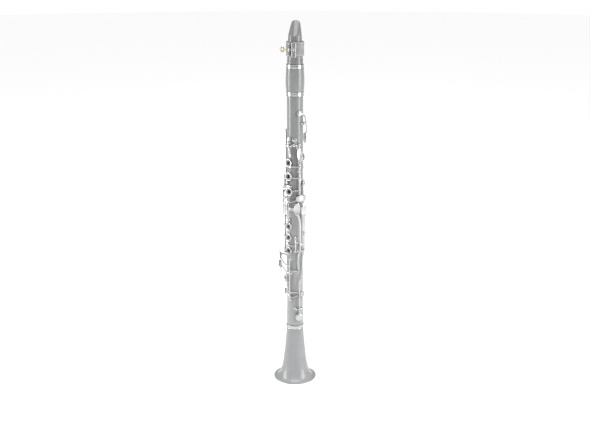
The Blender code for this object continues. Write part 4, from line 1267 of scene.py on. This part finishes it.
def make_sliver_key():
    shape = hinge_tube(B_FSHARP_HINGE, 265.5, 272)
    arm(shape, [(46, 19.3, 265.5), (30, 18.6, 265.3), (12, 18.2, 265.0), (0, 18.1, 266.2),
                (-17, 18.1, 270.6)], (1.0, 1.2), (1.0, 0.9))
    arm(shape, [(46, 19.2, 272), (57, 18.5, 270.5), (70, 17.9, 268.0), (77, 18.1, 266.8), (83, 18.3, 266)],
        (1.0, 1.2), (1.0, 0.9))
    cup(shape, "b_fsharp_pad")
    return key("b_fsharp_key", shape, ["b_fsharp_pad"])


def make_front_rod_keys():
    shape = hinge_tube(FSHARP_HINGE, 216.5, 225)
    arm(shape, [(12, 19.3, 216.5), (30, 19.6, 216.5), (50, 19.6, 216.5), (65, 19.4, 216.5)])
    arm(shape, [(12, 19.4, 225), (-4, 22.0, 228), (-20, 25.5, 235), (-30, 27.0, 241)])
    touch(shape, -31, 27.2, 243.5, 11, 13, 1.8, 0, -30)
    cup_arm(shape, "fsharp_csharp_pad", (12, 19.6, 214), (-6, 20.4, 210), (-28, 20.4, 201.5))
    cup(shape, "fsharp_csharp_pad")
    pads = key("fsharp_csharp_key", shape, ["fsharp_csharp_pad"])
    shape = hinge_tube(E_TOUCH_HINGE, 175.4, 194)
    arm(shape, [(12, 19.2, 175), (24, 18.2, 175), (36, 17.0, 174.8), (50, 16.8, 174.6), (68, 16.8, 174.2)])
    arm(shape, [(12, 19.6, 194), (0, 22.6, 196), (-18, 23.6, 202), (-38, 25.4, 211), (-52, 27.5, 220)])
    touch(shape, -54, 28.0, 225.0, 11, 13, 1.8, 0, -20)
    key("e_b_touch_key", shape)
    shape = hinge_tube(AB_HINGE, 165.2)
    arm(shape, [(12, 19.0, 164.5), (30, 17.2, 165.5), (56, 16.6, 167.6), (70, 16.6, 168), (77, 17.7, 168),
                (84, 19.2, 168), (92, 19.2, 168), (100, cup_top("ab_eb_pad"), 168)], (1.0, 0.9), (0.9, 0.9))
    arm(shape, [(12, 19.0, 167.5), (-4, 17.6, 172), (-14, 17.3, 186), (-15, 17.3, 205), (-20, 19.6, 215),
                (-32, 26.4, 224)])
    touch(shape, -32, 26.6, 225.0, 9, 13, 1.8, 0, -30)
    cup(shape, "ab_eb_pad")
    pads |= key("ab_eb_key", shape, ["ab_eb_pad"])
    return pads


def make_f_c_key():
    shape = hinge_tube(F_C_HINGE, 238, 171)
    arm(shape, [(-88, 19.4, 238), (-76, 22.5, 240), (-57, 28.4, 243)])
    touch(shape, -56, 28.6, 243.5, 10, 13, 1.8, 0, 10)
    cup_arm(shape, "f_c_pad", (-88, 19.4, 171), (-70, 20.2, 171))
    cup(shape, "f_c_pad")
    return key("f_c_key", shape, ["f_c_pad"])


def make_e_b_key():
    shape = cross_tube(E_B_HINGE)
    arm(shape, [(92, 20.2, 212), (88, 20.2, 208), (74, 20.2, 199), (69, 20.2, 190), (69, 20.2, 165),
                (70, 20.2, 142), (70, 20.0, 133), (69, cup_top("e_b_pad"), 126)], (1.2, 1.2), (1.1, 1.1))
    cup(shape, "e_b_pad")
    return key("e_b_key", shape, ["e_b_pad"])


def make_left_levers():
    shape = cross_tube(F_LEVER_HINGE)
    arm(shape, [(57, 21.6, 326), (66, 20.9, 315), (70, 21.3, 300), (70, 21.6, 275), (70, 20.7, 255),
                (63, 18.6, 243), (62, 17.2, 230), (65, 17.0, 216)], (1.8, 1.0))
    touch(shape, 54.5, 21.8, 334.5, 11.6, 24, 1.8, 0, 6)
    key("lh_fsharp_lever", shape)
    shape = cross_tube(E_LEVER_HINGE)
    arm(shape, [(90, 22.8, 325), (95, 21.4, 315), (97, 20.9, 300), (97, 20.9, 275), (97, 20.4, 255),
                (97, 18.4, 243), (94, 17.2, 230), (91, 17.0, 213)], (1.8, 1.0))
    touch(shape, 89, 23.0, 330.0, 12.5, 22, 1.8, 0, -4)
    key("lh_e_lever", shape)


# -------- thumb rest
def make_thumb_rest():
    """A screwed plate with rounded corners and a curved hook."""
    matrix = seat(180, LOWER_R, 272.0)
    half_wide = 6.0
    half_tall = 13.0
    corners = eased([(-half_wide, -half_tall), (half_wide, -half_tall), (half_wide, half_tall),
                     (-half_wide, half_tall)], 3.5, 6)
    shape = bmesh.new()
    rings = []
    for height, inset in ((0.3, 0.0), (1.3, 0.0), (1.6, 0.15), (1.7, 0.4)):
        rings.append([matrix @ Vector((x * (1 - inset / half_wide), y * (1 - inset / half_tall),
                                       height - x * x / 60)) for x, y in corners])
    skin(shape, rings)
    sweep(shape, route([(180, 15.6, 275.5), (180, 19, 276.6), (180, 23, 278), (180, 25.5, 281)], 8),
          (5.0, 3.6), (1.2, 1.0), 0.6, 24)
    keep("thumb_rest_plated", shape, "lower_joint", ["thumb_rest"], SILVER)
    for node, height in (("thumb_rest_screw_upper", 281.5), ("thumb_rest_screw_lower", 262.5)):
        shape = bmesh.new()
        centre = seat(180, LOWER_R + 2.0, height)
        slotted_head(shape, centre, [(2.0 * size, lift, 0.3 * size)
                                     for lift, size in ((0.0, 1.0), (0.45, 0.95), (0.75, 0.75))])
        disc(shape, centre, 1.95, -0.1, 0.2, 0.1)
        keep(node + "_slotted", shape, "lower_joint", [node], STEEL)


# -------- studio
def softbox(name, bearing, wide, power):
    """A tall lamp beside the camera that looks at the clarinet's middle."""
    light = bpy.data.lights.new(name, 'AREA')
    light.shape = 'RECTANGLE'
    light.size = wide
    light.size_y = SOFTBOX_TALL
    light.energy = power
    lit = linked(name, light)
    lit.location = place(CAMERA_BEARING + bearing, SOFTBOX_DISTANCE, SOFTBOX_HEIGHT)
    towards = Vector((0.0, 0.0, SOFTBOX_AIM)) - lit.location
    lit.rotation_euler = towards.to_track_quat('-Z', 'Y').to_euler()


def make_floor():
    """A pale floor just below the bell's rim."""
    shape = bmesh.new()
    disc(shape, Matrix.Translation((0.0, 0.0, FLOOR_FOOT)), FLOOR_R, 0.0, FLOOR_THICK, 1.0, ROUND)
    floor = made("studio_floor", shape, MM)
    floor.data.materials.append(PAPER)


def make_world():
    """A white surround that is dimmer for everything but the camera."""
    world = bpy.data.worlds.new("studio")
    bpy.context.scene.world = world
    world.use_nodes = True
    nodes = world.node_tree.nodes
    links = world.node_tree.links
    seen = nodes["Background"]
    soft = nodes.new("ShaderNodeBackground")
    for white, strength in ((seen, 1.0), (soft, SURROUND_STRENGTH)):
        white.inputs["Color"].default_value = (1.0, 1.0, 1.0, 1.0)
        white.inputs["Strength"].default_value = strength
    sight = nodes.new("ShaderNodeLightPath")
    choose = nodes.new("ShaderNodeMixShader")
    links.new(sight.outputs["Is Camera Ray"], choose.inputs["Fac"])
    links.new(soft.outputs["Background"], choose.inputs[1])
    links.new(seen.outputs["Background"], choose.inputs[2])
    links.new(choose.outputs["Shader"], nodes["World Output"].inputs["Surface"])


def make_camera():
    camera = bpy.data.cameras.new("camera")
    camera.lens = CAMERA_LENS
    eye = linked("camera", camera)
    eye.location = place(CAMERA_BEARING, CAMERA_DISTANCE, CAMERA_HEIGHT)
    eye.rotation_euler = (math.radians(90 - CAMERA_TILT), 0.0, math.radians(CAMERA_BEARING))
    bpy.context.scene.camera = eye


def make_studio():
    bpy.context.scene.view_settings.view_transform = 'Standard'
    make_camera()
    make_world()
    make_floor()
    softbox("left_softbox", *LEFT_SOFTBOX)
    softbox("right_softbox", *RIGHT_SOFTBOX)
    sun = bpy.data.lights.new("overhead", 'SUN')
    sun.energy = SUN_POWER
    sun.angle = math.radians(SUN_SPREAD)
    lit = linked("overhead", sun)
    lit.rotation_euler = (math.radians(SUN_TILT), 0.0, math.radians(CAMERA_BEARING))


# -------- assembly
BODY_GREY = make_body_grey("body grey", 0.19, 0.22)
# The lower joint and the bell get lighter copies of the body grey: painted light, for the look that
# brightens towards the bottom.
LOWER_GREY_PAINTED_LIGHT = make_body_grey("lower joint grey painted lighter", 0.28, 0.22)
BELL_GREY_PAINTED_LIGHT = make_body_grey("bell grey painted lighter", 0.25, 0.22)
EBONITE = make_ebonite()
SILVER = make_silver()
BRASS = make_brass()
STEEL = plain("steel", (2200.0, 3.0, 0.5, (1.0, 1.0, 4.0)), grey(0.36), grey(0.46), (0.22, 0.38),
              (0.00001, 0.4), 1.0)
SPRING_BLUE = plain("spring steel", (350.0, 3.0), (0.20, 0.22, 0.30), (0.34, 0.36, 0.42), (0.25, 0.4),
                    metallic=1.0)
CORK = make_cork()
CANE = make_cane()
LEATHER = make_leather()
THREAD = plain("thread", (5000.0, 2.0, 0.5, (1.0, 1.0, 0.2)), grey(0.34), grey(0.5), (0.7, 0.85),
               (0.00004, 0.8))
PAD_SKIN = plain("pad skin", (500.0, 6.0, 0.65), (0.70, 0.62, 0.46), (0.86, 0.80, 0.66), (0.5, 0.7),
                 (0.00004, 0.5))
PAPER = plain("studio paper", (90.0, 5.0), grey(0.955), grey(0.965), (0.85, 0.95))

make_bell()
make_bands()
make_corks()
make_lower_joint()
make_upper_joint()
make_barrel()
make_mouthpiece()
make_reed()
make_strap()
make_ligature_posts()
make_thumbscrew()
make_thumb_rest()
make_hinge_hardware("upper_joint", UPPER_CROSS, UPPER_ALONG)
make_hinge_hardware("lower_joint", LOWER_CROSS, LOWER_ALONG)
needle_springs("upper_joint", UPPER_ALONG)
needle_springs("lower_joint", LOWER_ALONG)
pad_bodies = {}
for make_key in (make_register_key, make_throat_keys, make_left_rings, make_thumb_ring, make_left_pinky_key,
                 make_fork_key, make_trill_keys, make_right_rings, make_sliver_key, make_front_rod_keys,
                 make_f_c_key, make_e_b_key):
    pad_bodies |= make_key()
make_left_levers()
make_pads(pad_bodies)
make_studio()
